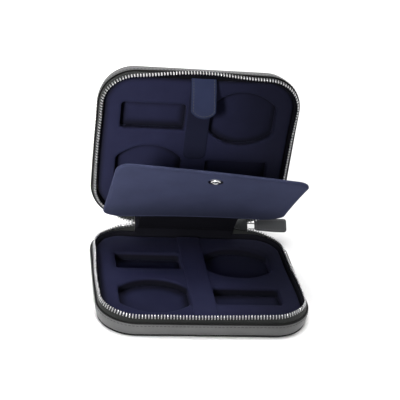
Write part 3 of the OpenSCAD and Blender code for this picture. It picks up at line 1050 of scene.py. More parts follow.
class Patterns:
    """The small pieces that rows repeat, kept out of the scene."""

    def __init__(self) -> None:
        """Makes the tooth and the stitch."""
        self.row = RowRecipe("rows of small pieces")
        self.tooth = self._tooth()
        self.stitch = self._stitch()

    def _hide(self, piece: bpy.types.Object) -> bpy.types.Object:
        """Takes a pattern out of the scene."""
        for home in list(piece.users_collection):
            home.objects.unlink(piece)
        return piece

    def _tooth(self, w: float = 1.25, d: float = 1.5, length: float = 2.5,
               nose: float = 1.0, root: float = 0.8) -> bpy.types.Object:
        """A zip tooth: a clamp that grips the tape and a rounded head with a bump."""
        shares = ((-root, 0.78, 1.02), (0.3, 0.80, 1.04), (0.9, 0.86, 0.92),
                  (length - nose, 0.98, 0.92), (length - 0.6, 0.94, 0.86),
                  (length - 0.15, 0.72, 0.66), (length, 0.40, 0.40))
        rows = [[(x * wide * w / 2, y * deep * d / 2, z) for x, y in chamfered(0.62, 0.62)]
                for z, wide, deep in shares]
        piece = Clay("tooth_pattern", lambda p: Vector(p) * MM).sweep(
            rows, True, False).cast()
        return self._hide(smooth(piece, 50))

    def _stitch(self, length: float = 2.3, r: float = 0.24) -> bpy.types.Object:
        """A stitch: a short bowed length of thread whose ends go under."""
        rows = []
        steps = 6
        for index in range(steps + 1):
            t = index / steps
            fat = r * (0.55 + 0.45 * math.sin(math.pi * t))
            height = 0.75 * r * math.sin(math.pi * t) - r * 0.35
            x = (t - 0.5) * length
            rows.append([(x, y, z) for y, z in oval(0, height, fat, fat * 0.8, 6)])
        piece = Clay("stitch_pattern", lambda p: Vector(p) * MM).sweep(
            rows, True, False).cast()
        return self._hide(smooth(piece, 70))


PATTERNS = Patterns()


# ---------- the two trays ----------

@dataclass(frozen=True)
class Bow:
    """A soft outward bow of the rim: its middle, its reach and how far out it goes.

    The middle is measured along the rim from the front's middle, positive to the right.
    """

    middle: float
    reach: float
    out: float


@dataclass(frozen=True)
class Bows:
    """How the soft rim of one tray bows outwards between its corners."""

    bows: tuple[Bow, ...]
    share_of_wall: float = 0.3

    def at(self, station: Station) -> float:
        """How far the zip's edge stands out at a station of the rim."""
        right, left = SIZES.outer_w / 2, SIZES.outer_d / 2
        straight_w, straight_d = right - SIZES.outer_r, left - SIZES.outer_r
        corner = SIZES.outer_r * math.pi / 2
        side = 1 if station.x >= 0 else -1
        x, y = abs(station.x), station.y
        if x <= straight_w and y < 0:
            run = x
        elif x <= straight_w:
            run = straight_w + 2 * corner + 2 * straight_d + (straight_w - x)
        elif abs(y) <= straight_d:
            run = straight_w + corner + straight_d + y
        elif y < 0:
            turn = math.atan2(x - straight_w, -y - straight_d)
            run = straight_w + SIZES.outer_r * turn
        else:
            turn = math.atan2(y - straight_d, x - straight_w)
            run = straight_w + corner + 2 * straight_d + SIZES.outer_r * turn
        total = 0.0
        for bow in self.bows:
            gap = abs(side * run - bow.middle)
            if gap < bow.reach:
                total += bow.out * math.cos(math.pi / 2 * gap / bow.reach) ** 2
        return total


BOWS = {
    Half.BASE: Bows((Bow(-10, 70, 1.4), Bow(-55, 30, 0.7), Bow(76, 32, -1.2),
                     Bow(118, 48, 2.1), Bow(-135, 72, 2.8), Bow(-207, 42, 2.2))),
    Half.LID: Bows((Bow(0, 78, 6.2), Bow(80, 55, 3.2), Bow(128, 45, 0.9),
                    Bow(-85, 40, 1.2), Bow(-150, 75, 1.9))),
}


@dataclass
class Shell:
    """The leather outside of one tray: wall, piping, outer panel and edge."""

    half: Half
    draft: float = 1.1
    belly: float = 0.25
    stitch_drop: float = 1.5
    stitch_pitch: float = 3.1
    panel_gap: float = 0.15
    rim: RoundedBox = field(init=False)

    def __post_init__(self) -> None:
        """Works out the rim's outline."""
        self.rim = RoundedBox(SIZES.outer_w, SIZES.outer_d, SIZES.outer_r)

    def _inset(self, z: float) -> float:
        """How far the wall's outer face lies inside the rim's outline at a height."""
        t = (z - SIZES.wall_foot) / (SIZES.wall_top - SIZES.wall_foot)
        return self.draft * (1 - t) ** 1.6 - self.belly * math.sin(math.pi * t)

    def _ring(self, name: str, profile: Sequence[Flat], finish: str,
              stations: Sequence[Station] | None = None,
              replaces: Iterable[str] = ()) -> bpy.types.Object:
        """Sweeps a profile of insets and heights round the rim."""
        whole = stations is None
        walk = self.rim.stations() if whole else stations
        rows = [[(*s.inwards(inset - self._bow(s, z)), z) for inset, z in profile]
                for s in walk]
        piece = Clay(f"{self.half.value}_{name}", self.half.place).sweep(
            rows, True, whole, [s.run for s in walk]).cast()
        return dress(smooth(piece), finish, self.half.value, replaces)

    def _bow(self, station: Station, z: float) -> float:
        """How far the soft wall follows the zip's bow at a height."""
        bows = BOWS[self.half]
        rise = max(0.0, z - SIZES.wall_foot) / (SIZES.wall_top - SIZES.wall_foot)
        return bows.share_of_wall * bows.at(station) * rise ** 1.4

    def wall(self) -> None:
        """The satin leather wall, drawn in a little towards the outer panel."""
        steps = 9
        heights = [SIZES.wall_foot + (SIZES.wall_top - SIZES.wall_foot) * i / steps
                   for i in range(steps + 1)]
        outer = [(self._inset(z), z) for z in heights]
        outer[0] = (outer[0][0] + 0.35, outer[0][1])
        outer[-1] = (outer[-1][0] + 0.2, outer[-1][1])
        back = SIZES.leather_t - 0.02
        inner = [(max(back, self._inset(z) + 0.9), z) for z in reversed(heights)]
        self._ring("wall_leather", outer + inner, "shell_leather",
                   replaces=[f"{self.half.value}_side_wall"])

    def stitches(self) -> None:
        """A row of stitches just under the wall's top edge."""
        z = SIZES.wall_top - self.stitch_drop
        walk = self.rim.stations()
        walk.append(walk[0])
        inset = self._inset(z)
        spots = [self.half.place((*s.inwards(inset - self._bow(s, z)), z)) for s in walk]
        leans = [(self.half.place((*s.inwards(-1), z)) - self.half.place(
            (*s.inwards(0), z))).normalized() for s in walk]
        row = PATTERNS.row.lay(f"{self.half.value}_wall_stitches", spots, leans,
                               PATTERNS.stitch, self.stitch_pitch, "black_thread")
        dress(row, "black_thread", self.half.value)

    def piping(self) -> None:
        """The piping cord round the outer panel."""
        r = SIZES.piping_r
        profile = oval(self.draft + r + 0.1, r + SIZES.piping_lift, r, r, 12)
        self._ring("piping_cord", profile, "leather_edge",
                   replaces=[f"{self.half.value}_piping"])

    def panel(self) -> None:
        """The large outer panel: a flat plate on both trays, its edge rounded off towards the outer face."""
        edge = self.draft + 2 * SIZES.piping_r + self.panel_gap
        rings = [(edge, SIZES.panel_t), (edge, 0.5), (edge + 0.25, 0.15), (edge + 0.7, 0.0)]
        walk = self.rim.stations()
        rows = [[(*s.inwards(inset), z) for inset, z in rings] for s in walk]
        clay = Clay(f"{self.half.value}_outer_leather", self.half.place)
        clay.sweep(rows, False, True, [s.run for s in walk])
        wide = len(rings)
        count = len(walk)
        clay.faces.append(tuple(i * wide for i in range(count)))
        clay.faces.append(tuple(i * wide + wide - 1 for i in reversed(range(count))))
        clay.maps.extend([[(0.0, 0.0)] * count, [(0.0, 0.0)] * count])
        dress(smooth(clay.cast(), 60), "shell_leather", self.half.value,
              [f"{self.half.value}_outer_panel"])

    def binding(self) -> None:
        """The dark painted edge on top of the wall, open at the spine."""
        low, high = SIZES.wall_top + 0.03, SIZES.binding_top
        left, right = 0.1, SIZES.leather_t - 0.05
        cut_in, cut_down = 0.3, 0.35
        profile = [(left, low), (left, high - cut_down), (left + cut_in, high),
                   (right - cut_in, high), (right, high - cut_down), (right, low)]
        walk = self.rim.stations(SIZES.spine_right, -SIZES.spine_left)
        self._ring("painted_edge", profile, "leather_edge", walk,
                   [f"{self.half.value}_wall_binding"])

    def build(self) -> None:
        """Builds every piece of the shell."""
        self.wall()
        self.stitches()
        self.piping()
        self.panel()
        self.binding()


@dataclass
class Lining:
    """The dark lining of one tray's wall, which covers the board's top edge."""

    half: Half
    top: float = 15.5
    bow_share: float = 0.7
    bow_reach: float = 0.9

    def _shift(self, station: Station, inset: float) -> float:
        """How far the lining's top fold follows the zip's bow, its inner face not at all."""
        outer = ease((SIZES.lining_in - inset) / self.bow_reach)
        return self.bow_share * BOWS[self.half].at(station) * outer

    def build(self) -> None:
        """Builds the lining."""
        inner = SIZES.lining_in + SIZES.lining_t
        foot = SIZES.lining_foot
        over = SIZES.board_top + 0.1
        top = self.top
        profile = [(inner, foot), (inner, top - 0.8), (inner - 0.25, top - 0.3),
                   (inner - 0.8, top), (SIZES.board_in + 0.6, top - 0.1),
                   (SIZES.board_in + 0.1, top - 0.5), (SIZES.board_in + 0.1, over),
                   (SIZES.lining_in - 0.02, over), (SIZES.lining_in + 0.02, foot)]
        rim = RoundedBox(SIZES.outer_w, SIZES.outer_d, SIZES.outer_r)
        walk = rim.stations()
        rows = [[(*s.inwards(inset - self._shift(s, inset)), z) for inset, z in profile]
                for s in walk]
        piece = Clay(f"{self.half.value}_lining_cloth", self.half.place).sweep(
            rows, True, True, [s.run for s in walk]).cast()
        dress(smooth(piece), "black_lining", self.half.value,
              [f"{self.half.value}_wall_lining"])


@dataclass
class InsertPad:
    """The suede-covered insert of one tray, with its cut-outs and its band."""

    half: Half
    column_x: float = 38.7
    front_y: float = -28.3
    back_y: float = 23.7
    strap_w: float = 55.5
    strap_d: float = 24.0
    strap_r: float = 2.0
    voxel: float = 1.15
    edge_gap: float = 2.0
    swell: float = 0.55
    swell_reach: float = 5.0
    band_w: float = 20.0
    band_t: float = 1.15
    band_gap: float = 0.05
    band_inset: float = 2.0
    band_voxel: float = 0.6
    band_crown: float = 0.35
    lid_band_l: float = 73.0
    lid_band_r: float = 6.0
    bow_share: float = 0.85
    # Painted shade along the outer rim, and on the floor along the cut-outs' walls.
    rim_shade: float = 0.85
    rim_reach: float = 4.5
    floor_shade: float = 0.9
    floor_reach: float = 8.0
    # Painted shade towards the right side, and painted shadow of the divider towards the spine.
    painted_right_shade: float = 0.65
    painted_base_shadow: float = 0.75
    painted_lid_shadow: float = 0.25

    def __post_init__(self) -> None:
        """Places the cut-outs: a head in front on one side and behind on the other."""
        side = -1 if self.half is Half.BASE else 1
        inset = SIZES.insert_in + self.edge_gap
        self.outer = RoundedBox(SIZES.outer_w - 2 * inset, SIZES.outer_d - 2 * inset,
                                SIZES.outer_r - inset)
        self.painted_shades: list[float] = []
        self.holes = [
            HeadHole(side * self.column_x, self.front_y),
            HeadHole(-side * self.column_x, self.back_y),
            RoundedBox(self.strap_w, self.strap_d, self.strap_r, side * self.column_x,
                       self.back_y, corner_steps=5),
            RoundedBox(self.strap_w, self.strap_d, self.strap_r, -side * self.column_x,
                       self.front_y, corner_steps=5),
        ]

    def _outwards(self, x: float, y: float) -> Flat:
        """How the soft rim's bow takes a point with it, in x and y."""
        hx = SIZES.outer_w / 2 - SIZES.outer_r
        hy = SIZES.outer_d / 2 - SIZES.outer_r
        nx = math.copysign(max(abs(x) - hx, 0.0), x)
        ny = math.copysign(max(abs(y) - hy, 0.0), y)
        size = math.hypot(nx, ny)
        if size < 1e-6:
            return 0.0, 0.0
        share = self.bow_share * ease((size + 2.0) / SIZES.outer_r) ** 1.5
        out = min(self.edge_gap - 0.1, share * BOWS[self.half].at(Station(x, y, 0, 0, 0)))
        return nx / size * out, ny / size * out

    def _painted_shadow_at(self, x: float, y: float) -> float:
        """Painted shade towards the right side and the spine: the lamp's falloff and the divider's shadow.
        """
        right = self.painted_right_shade * ease((x + 5.0) / 80.0)
        if self.half is Half.BASE:
            back = self.painted_base_shadow * ease((y - 2.0) / 55.0)
        else:
            back = self.painted_lid_shadow * ease(y / 50.0)
        return 1 - (1 - right) * (1 - back)

    def _shape(self, p: Vector) -> Vector:
        """Pads the top between the edges, keeps the point's painted shade, and stands the point up."""
        rim = self.outer.depth(p.x, p.y)
        edge = min([rim] + [-hole.depth(p.x, p.y) for hole in self.holes])
        rise = (p.z - SIZES.insert_foot) / (SIZES.insert_top - SIZES.insert_foot)
        swell = self.swell * (1 - math.exp(-max(edge, 0.0) / self.swell_reach))
        lift = (swell - self.swell * 0.75) * ease(rise)
        # Painted shade: darker down the cut-outs' walls, near the outer rim, and towards the right and the
        # spine.
        low = 1 - ease((p.z - SIZES.insert_top + 3.6) / 3.2)
        by_rim = self.rim_shade * (1 - ease((rim - 0.5) / self.rim_reach))
        self.painted_shades.append(max(low, by_rim, self._painted_shadow_at(p.x, p.y)))
        dx, dy = self._outwards(p.x, p.y)
        return self.half.place((p.x + dx, p.y + dy, p.z + lift))

    def pad(self) -> None:
        """The insert itself."""
        slab = Padding(f"{self.half.value}_suede_insert", self.outer.outline(),
                       [hole.outline() for hole in self.holes],
                       SIZES.insert_foot, SIZES.insert_top, self.voxel)
        piece = slab.cast(self._shape)
        shade(piece.data, self.painted_shades)
        dress(piece, "insert_suede", self.half.value, [f"{self.half.value}_insert"])

    def band(self) -> None:
        """The raised band between the two columns of cut-outs."""
        face = SIZES.outer_d / 2 - SIZES.lining_in - SIZES.lining_t
        front = -face + self.band_inset
        if self.half is Half.BASE:
            back, end_r = face - 2 * self.band_inset, 1.0
        else:
            back, end_r = front + self.lid_band_l, self.lid_band_r
        hw = self.band_w / 2
        loop = ([(-hw, front), (hw, front)]
                + arc(hw - end_r, back - end_r, end_r, 0, 90, 8)
                + arc(-hw + end_r, back - end_r, end_r, 90, 180, 8))
        foot = SIZES.insert_top + self.band_gap
        slab = Padding(f"{self.half.value}_suede_band", loop, [], foot,
                       foot + self.band_t, self.band_voxel, rounds=3)
        painted_shades: list[float] = []

        def shape(p: Vector) -> Vector:
            """Crowns the band across its width."""
            # Painted shade towards the right side and the spine, as on the insert.
            painted_shades.append(self._painted_shadow_at(p.x, p.y))
            across = 1 - (p.x / hw) ** 2
            top = ease((p.z - foot) / self.band_t)
            return self.half.place((p.x, p.y, p.z + self.band_crown * across * top))

        piece = slab.cast(shape)
        shade(piece.data, painted_shades)
        # The lid's band takes a darker copy of the insert suede: painted shade.
        finish = "insert_suede" if self.half is Half.BASE else "painted_shade_band_suede"
        dress(piece, finish, self.half.value, [f"{self.half.value}_centre_band"])

    def floor(self) -> None:
        """The suede floor under the cut-outs, with painted shade along their walls and towards the right and
        the spine.
        """
        low, high = SIZES.lining_foot, SIZES.insert_foot - 0.05
        hx, hy = self.outer.w / 2 - 0.5, self.outer.d / 2 - 0.5
        wide, long = 88, 112
        across = [k / wide * 2 - 1 for k in range(wide + 1)]
        rows, painted_shades = [], []
        for i in range(long + 1):
            x = hx * (i / long * 2 - 1)
            over = max(0.0, abs(x) - (hx - self.outer.r))
            y1 = hy - self.outer.r + math.sqrt(max(0.5, self.outer.r ** 2 - over ** 2))
            rows.append([(x, u * y1, high) for u in across]
                        + [(x, u * y1, low) for u in reversed(across)])
            for _, y, _ in rows[-1]:
                # Painted shade: darker near the cut-outs' walls, and towards the right and the spine.
                inside = max(hole.depth(x, y) for hole in self.holes)
                by_wall = self.floor_shade * (1 - ease(inside / self.floor_reach))
                painted_shades.append(max(by_wall, self._painted_shadow_at(x, y)))
        clay = Clay(f"{self.half.value}_suede_floor", self.half.place)
        piece = clay.sweep(rows, True, False).cast(painted_shades)
        dress(smooth(piece), "insert_suede", self.half.value,
              [f"{self.half.value}_floor_lining"])

    def build(self) -> None:
        """Builds every piece of the insert."""
        self.pad()
        self.band()
        self.floor()


@dataclass
class ZipRow:
    """One tray's zip tape, its teeth and its end stops."""

    half: Half
    lean: float = 16.0
    end_lean: float = -30.0
    edge_in: float = 4.15
    edge_top: float = 17.1
    end_in: float = -0.6
    end_top: float = 19.9
    bow_drop: float = 0.2
    pitch: float = 2.5
    left_merge: tuple[float, float] = (72.0, 46.5)
    right_merge: tuple[float, float] = (75.0, 38.0)
    bead_r: float = 0.62
    slider_gap: float = 0.6
    left_gap: float = 2.4
    stop_w: float = 2.2

    def __post_init__(self) -> None:
        """Walks the rim's outline, open at the spine."""
        self.rim = RoundedBox(SIZES.outer_w, SIZES.outer_d, SIZES.outer_r, step=1.5,
                              corner_steps=32)
        self.bows = BOWS[self.half]

    def merge(self, station: Station) -> float:
        """How far the row has gone over to the hinge line at a station, from 0 to 1."""
        if station.y < 0:
            return 0.0
        start, end = self.left_merge if station.x < 0 else self.right_merge
        return min(1.0, max(0.0, (start - abs(station.x)) / (start - end)))

    def edge(self, station: Station) -> tuple[float, float, float]:
        """The tape's upper edge at a station.

        Args:
            station: a place on the rim's outline.

        Returns:
            The edge's inset and height, and the teeth's lean inwards in degrees.
        """
        m = self.merge(station)
        bow = self.bows.at(station)
        inset = (self.edge_in - bow) * (1 - m) + self.end_in * m
        height = (self.edge_top - self.bow_drop * bow) * (1 - m) + self.end_top * m
        return inset, height, self.lean * (1 - m) + self.end_lean * m

    def tape(self) -> None:
        """The woven tape, from inside the leather wall to its corded edge."""
        walk = self.rim.stations(SIZES.spine_right, -SIZES.spine_left)
        half_t = SIZES.tape_t / 2
        middle = SIZES.tape_in + half_t
        knee = SIZES.board_top - 0.1
        rows = []
        for s in walk:
            inset, height, _ = self.edge(s)
            shift = self.bows.share_of_wall * self.bows.at(s)
            line = [(middle, SIZES.tape_foot), (middle - shift * 0.5, 8.0),
                    (middle - shift, 12.0), (middle - shift, knee)]
            line += [(middle - shift + (inset - middle + shift) * t,
                      knee + (height - knee) * t) for t in (0.3, 0.6, 0.85)]
            outer = [(i - half_t * 0.8, z) for i, z in line]
            inner = [(i + half_t * 0.8, z) for i, z in reversed(line)]
            bead = [(inset + self.bead_r * math.cos(a), height - 0.2 + self.bead_r * math.sin(a))
                    for a in (math.radians(d) for d in (215, 180, 140, 90, 40, 0, -35))]
            rows.append([(*s.inwards(i), z) for i, z in outer + bead + inner])
        piece = Clay(f"{self.half.value}_woven_tape", self.half.place).sweep(
            rows, True, False, [s.run for s in walk]).cast()
        dress(smooth(piece), "woven_tape", self.half.value,
              [f"{self.half.value}_zip_tape"])

    def _line(self, start_x: float, end_x: float,
              sink: float = 0.1) -> tuple[list[Vector], list[Vector]]:
        """The line that the teeth stand on, and their lean at each point."""
        spots, leans = [], []
        for s in self.rim.stations(start_x, -end_x):
            inset, height, lean = self.edge(s)
            a = math.radians(lean)
            root = (*s.inwards(inset), height - sink)
            tip = (*s.inwards(inset + math.sin(a)), height - sink + math.cos(a))
            spots.append(self.half.place(root))
            leans.append((self.half.place(tip) - self.half.place(root)).normalized())
        return spots, leans

    def teeth(self) -> None:
        """The row of teeth; the lid's are set half a pitch on."""
        spots, leans = self._line(SIZES.slider_end + self.slider_gap,
                                  SIZES.spine_left + self.left_gap)
        if self.half is Half.LID:
            way = spots[1] - spots[0]
            spots[0] = spots[0] + way.normalized() * min(self.pitch / 2 * MM, way.length * 0.9)
        row = PATTERNS.row.lay(f"{self.half.value}_metal_teeth", spots, leans,
                               PATTERNS.tooth, self.pitch, "tooth_nickel")
        dress(row, "tooth_nickel", self.half.value, [f"{self.half.value}_zip_teeth"])

    def stops(self) -> None:
        """The end stops: one at the left end, one behind the slider's nose."""
        clay = Clay(f"{self.half.value}_row_stops", self.half.place)
        for x in (-SIZES.spine_left - 1.0, SIZES.spine_right - 1.8):
            y, inset = SIZES.outer_d / 2, self.end_in
            low, high = self.end_top - 1.2, self.end_top + 0.7
            rows = [[(x + side * self.stop_w / 2 * wide, y - inset + across, z)
                     for side, across in chamfered(0.6, 0.7)]
                    for z, wide in ((low, 0.8), (low + 0.3, 1.0), (high - 0.3, 1.0), (high, 0.8))]
            clay.sweep(rows, True, False)
        dress(smooth(clay.cast(), 30), "tooth_nickel", self.half.value,
              [f"{self.half.value}_end_stops"])

    def build(self) -> None:
        """Builds every piece of the row."""
        self.tape()
        self.teeth()
        self.stops()


# ---------- the spine ----------

@dataclass
class Spine:
    """The soft leather and lining that join the two trays, bending at the hinge line."""

    steps: int = 14
    blend_reach: float = 3.4
    tuck: float = -0.7

    def _strip(self, name: str, line: Sequence[Flat], thick: float, finish: str,
               replaces: Iterable[str], soft: float = 0.0) -> bpy.types.Object:
        """A strip along the spine that follows a line of y and z, bent at its middle.

        Args:
            name: the piece's name.
            line: the middle of its thickness, from the base to the lid.
            thick: its thickness.
            finish: the finish's name.
            replaces: the nodes that it stands for.
            soft: how far its surface waves along the spine.

        Returns:
            The strip.
        """
        normals = normals_of(line)
        x0, x1 = -SIZES.spine_left, SIZES.spine_right + self.tuck
        rows = []
        count = 40
        for i in range(count + 1):
            x = x0 + (x1 - x0) * i / count
            row = []
            for k, side in there_and_back(len(line)):
                loose = math.sin(math.pi * k / (len(line) - 1)) ** 2
                wave = soft * loose * noise.noise(Vector((x * 0.09, k * 0.12, 3.0)))
                y = line[k][0] + normals[k][0] * (side * thick / 2 + wave)
                z = line[k][1] + normals[k][1] * (side * thick / 2 + wave)
                row.append((x, y, z))
            rows.append(row)
        piece = Clay(name, lambda p: Vector(p) * MM).sweep(
            rows, True, False, [float(i) for i in range(count + 1)]).cast()
        smooth(piece, 60)
        dress(piece, finish, None, replaces)
        reach = self.blend_reach
        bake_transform(piece, "base", "lid",
                 start=(0, (SIZES.axis_y - reach) * MM, (SIZES.half_h - reach) * MM),
                 end=(0, (SIZES.axis_y + reach) * MM, (SIZES.half_h + reach) * MM))
        return piece

    def _bent(self, low: Flat, knee: float, round_to: Flat) -> list[Flat]:
        """A line that goes up from the base, bends and goes back along the lid.

        Args:
            low: y and z of its start on the base.
            knee: how much of each leg is left straight.
            round_to: the point that the bend is drawn towards.

        Returns:
            The whole line, the second half the first one's image in the fold.
        """
        top = (low[0], low[1] + (round_to[1] - low[1]) * knee)
        fold = SIZES.axis_y + SIZES.half_h
        leg = straight(*low, *top, 1.2)
        far_leg = [(fold - z, fold - y) for y, z in reversed(leg)]
        return leg + bend(top, round_to, far_leg[0], self.steps) + far_leg

    def build(self) -> None:
        """Builds the leather outside and the lining inside."""
        face = SIZES.outer_d / 2
        leather = self._bent((face - 0.85, SIZES.wall_top + 0.1), 0.62,
                             (face - 0.7, SIZES.axis_y + SIZES.half_h - face + 0.7))
        self._strip("spine_leather_strip", leather, 1.5, "shell_leather",
                    ["spine_leather_lower", "spine_leather_upper", "spine_fold"], 0.25)
        inner = face - SIZES.lining_in - SIZES.lining_t + 0.5
        lining = self._bent((inner, 14.6), 0.4,
                            (inner + 0.6, SIZES.axis_y + SIZES.half_h - inner - 0.6))
        self._strip("spine_lining_strip", lining, 0.8, "black_lining",
                    ["spine_lining_lower", "spine_lining_upper"], 0.6)


# ---------- the divider ----------

@dataclass
class Divider:
    """The padded panel that stands between the trays, with its strip and its stud."""

    w: float = 156.5
    rise: float = 23.8
    length: float = 123.2
    r: float = 11.8
    thick: float = 3.2
    angle: float = 51.8
    left_lift: float = 4.0
    right_drop: float = 5.6
    curl: float = 2.5
    bow: float = 3.7
    skew: float = 1.8
    shift: float = -1.9
    foot_tilt: float = 7.5
    foot_r: float = 17.0
    stud_inset: float = 17.0
    stud_x: float = 3.0
    stud_scale: float = 1.18
    swell: float = 0.35
    foot_shade: float = 0.85
    # Painted shade, darker towards the hinge where the panel stands over the base.
    shade_reach: float = 52.0
    roll_in: float = 0.55
    roll_w: float = 0.62
    roll_h: float = 1.15
    strip_margin: float = 2.0
    strip_lap: float = 6.0
    strip_t: float = 0.7

    def __post_init__(self) -> None:
        """Works out the panel's outline; y runs down to the free edge."""
        depth = self.length - self.rise
        self.outline = RoundedBox(self.w, depth, self.r, 0.0, -self.rise - depth / 2)
        self.painted_shades: list[float] = []

    def place(self, p: Sequence[float]) -> Vector:
        """Stands a point of the flat divider up, with the panel's gentle twist."""
        x, y, z = p
        t = min(1.0, max(0.0, -y / self.length))
        z = z + self.warp(x, t)
        near = (1 - t) / (1 - self.rise / self.length)
        corner = self.w / 2 - abs(x) - (self.foot_r + (y + self.rise))
        if corner < 0 and t < 0.4:
            y += 0.3 * corner * min(1.0, near)
        y -= self.foot_tilt * (0.5 + x / self.w) * near ** 1.5
        s = math.radians(self.skew)
        x, y = (x * math.cos(s) - y * math.sin(s) + self.shift,
                x * math.sin(s) + y * math.cos(s))
        a = math.radians(self.angle)
        back = SIZES.divider_y + y * math.cos(a) + z * math.sin(a)
        up = SIZES.half_h - y * math.sin(a) + z * math.cos(a)
        return Vector((x, back, up)) * MM

    def warp(self, x: float, t: float) -> float:
        """How far the panel stands off its plane: higher at the left than at the right."""
        across = x / (self.w / 2)
        corner = self.left_lift if across < 0 else self.right_drop
        return (-corner * across * t ** self.curl
                + self.bow * (1 - across * across) * math.sin(math.pi * t))

    def panel(self) -> None:
        """The padded suede panel, stiffened by its board."""
        slab = Padding("divider_suede_panel", self.outline.outline(0.4), [],
                       -self.thick / 2, self.thick / 2, 1.0, rounds=5)

        def shape(p: Vector) -> Vector:
            """Pads the panel's two faces."""
            edge = max(0.0, self.outline.depth(p.x, p.y))
            swell = self.swell * (1 - math.exp(-edge / 7.0)) - 0.2
            side = max(-1.0, min(1.0, p.z / (self.thick / 2)))
            # Painted shade: darker towards the hinge.
            up = ease((-p.y - self.rise + 4) / self.shade_reach)
            self.painted_shades.append(self.foot_shade * (1 - up) ** 1.3)
            return self.place((p.x, p.y, p.z + swell * side))

        piece = slab.cast(shape)
        shade(piece.data, self.painted_shades)
        dress(piece, "navy_suede", "divider", ["divider_board", "divider_front_cover",
                                               "divider_rear_cover"])

    def binding(self) -> None:
        """The rolled edge all round the panel."""
        walk = self.outline.stations()
        profile = oval(self.roll_in, 0.0, self.roll_w, self.roll_h, 10)
        rows = [[(*s.inwards(inset), z) for inset, z in profile] for s in walk]
        piece = Clay("divider_rolled_edge", self.place).sweep(
            rows, True, True, [s.run for s in walk]).cast()
        dress(smooth(piece, 60), "navy_suede", "divider", ["divider_edge_binding"])

    def strip(self) -> None:
        """The dark hinge strip, sewn to the base behind and to the panel above."""
        x0, x1 = -SIZES.spine_left + self.strip_margin, SIZES.spine_right - self.strip_margin
        a = math.radians(self.angle)
        anchor_y = SIZES.outer_d / 2 - SIZES.lining_in - SIZES.lining_t - 0.45
        foot = [(anchor_y, z) for z in (13.3, 15.5, 17.5, 19.0)]
        up = [(SIZES.divider_y - t * math.cos(a), SIZES.half_h + t * math.sin(a))
              for t in (3.0, 6.0, 10.0, 14.0, 18.0, self.rise, self.rise + self.strip_lap)]
        knee = bend(foot[-1], (anchor_y, SIZES.half_h + 0.6), up[0], 7)
        line = foot + knee + up
        normals = normals_of(line)
        flat_l = sum(math.dist(p, q) for p, q in zip(line, line[1:]))
        rows = []
        count = 36
        for i in range(count + 1):
            x = x0 + (x1 - x0) * i / count
            row = []
            for k, side in there_and_back(len(line)):
                run = max(0.0, (line[k][1] - SIZES.half_h) / math.sin(a))
                shift = self.warp(x, min(1.0, run / self.length)) if k >= len(foot) else 0.0
                out = side * self.strip_t / 2
                row.append((x, line[k][0] + normals[k][0] * out + shift * math.sin(a),
                            line[k][1] + normals[k][1] * out + shift * math.cos(a)))
            rows.append(row)
        piece = Clay("divider_strip_cloth", lambda p: Vector(p) * MM).sweep(
            rows, True, False).cast()
        smooth(piece, 60)
        dress(piece, "black_lining", None, ["divider_hinge_strip", "divider_anchor"])
        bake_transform(piece, "base", "divider",
                 start=(0, anchor_y * MM, 0.0185), end=(0, up[1][0] * MM, up[1][1] * MM))

    def stud(self) -> None:
        """The press stud's cap on the panel's front, and its rivet behind."""
        y = -self.length + self.stud_inset

        def on_front(p: Sequence[float]) -> Vector:
            """Sets a point on the panel's front face."""
            return self.place((self.stud_x + self.stud_scale * p[0],
                               y + self.stud_scale * p[1], -self.thick / 2 - 0.05 - p[2]))

        def on_rear(p: Sequence[float]) -> Vector:
            """Sets a point on the panel's rear face."""
            return self.place((self.stud_x + p[0], y + p[1], self.thick / 2 + 0.05 + p[2]))

        cap = lathe("stud_cap", [
            (0.0, 0.0), (5.0, 0.0), (5.2, 0.15), (5.15, 0.4), (4.9, 0.58), (4.5, 0.62),
            (3.75, 0.5), (3.4, 0.55), (3.25, 0.85), (3.1, 1.2), (2.8, 1.32), (2.4, 1.3),
            (2.1, 1.1), (1.9, 0.75), (1.2, 0.62), (0.0, 0.6)], on_front)
        dress(cap, "bright_nickel", "divider", ["press_stud_cap"])
        rivet = lathe("stud_rivet", [
            (0.0, 0.0), (3.1, 0.0), (3.2, 0.15), (3.1, 0.4), (2.7, 0.55), (1.2, 0.6),
            (0.8, 0.45), (0.0, 0.42)], on_rear)
        dress(rivet, "bright_nickel", "divider", ["press_stud_rivet"])

    def build(self) -> None:
        """Builds every piece of the divider."""
        self.panel()
        self.binding()
        self.strip()
        self.stud()


# ---------- the tongue ----------

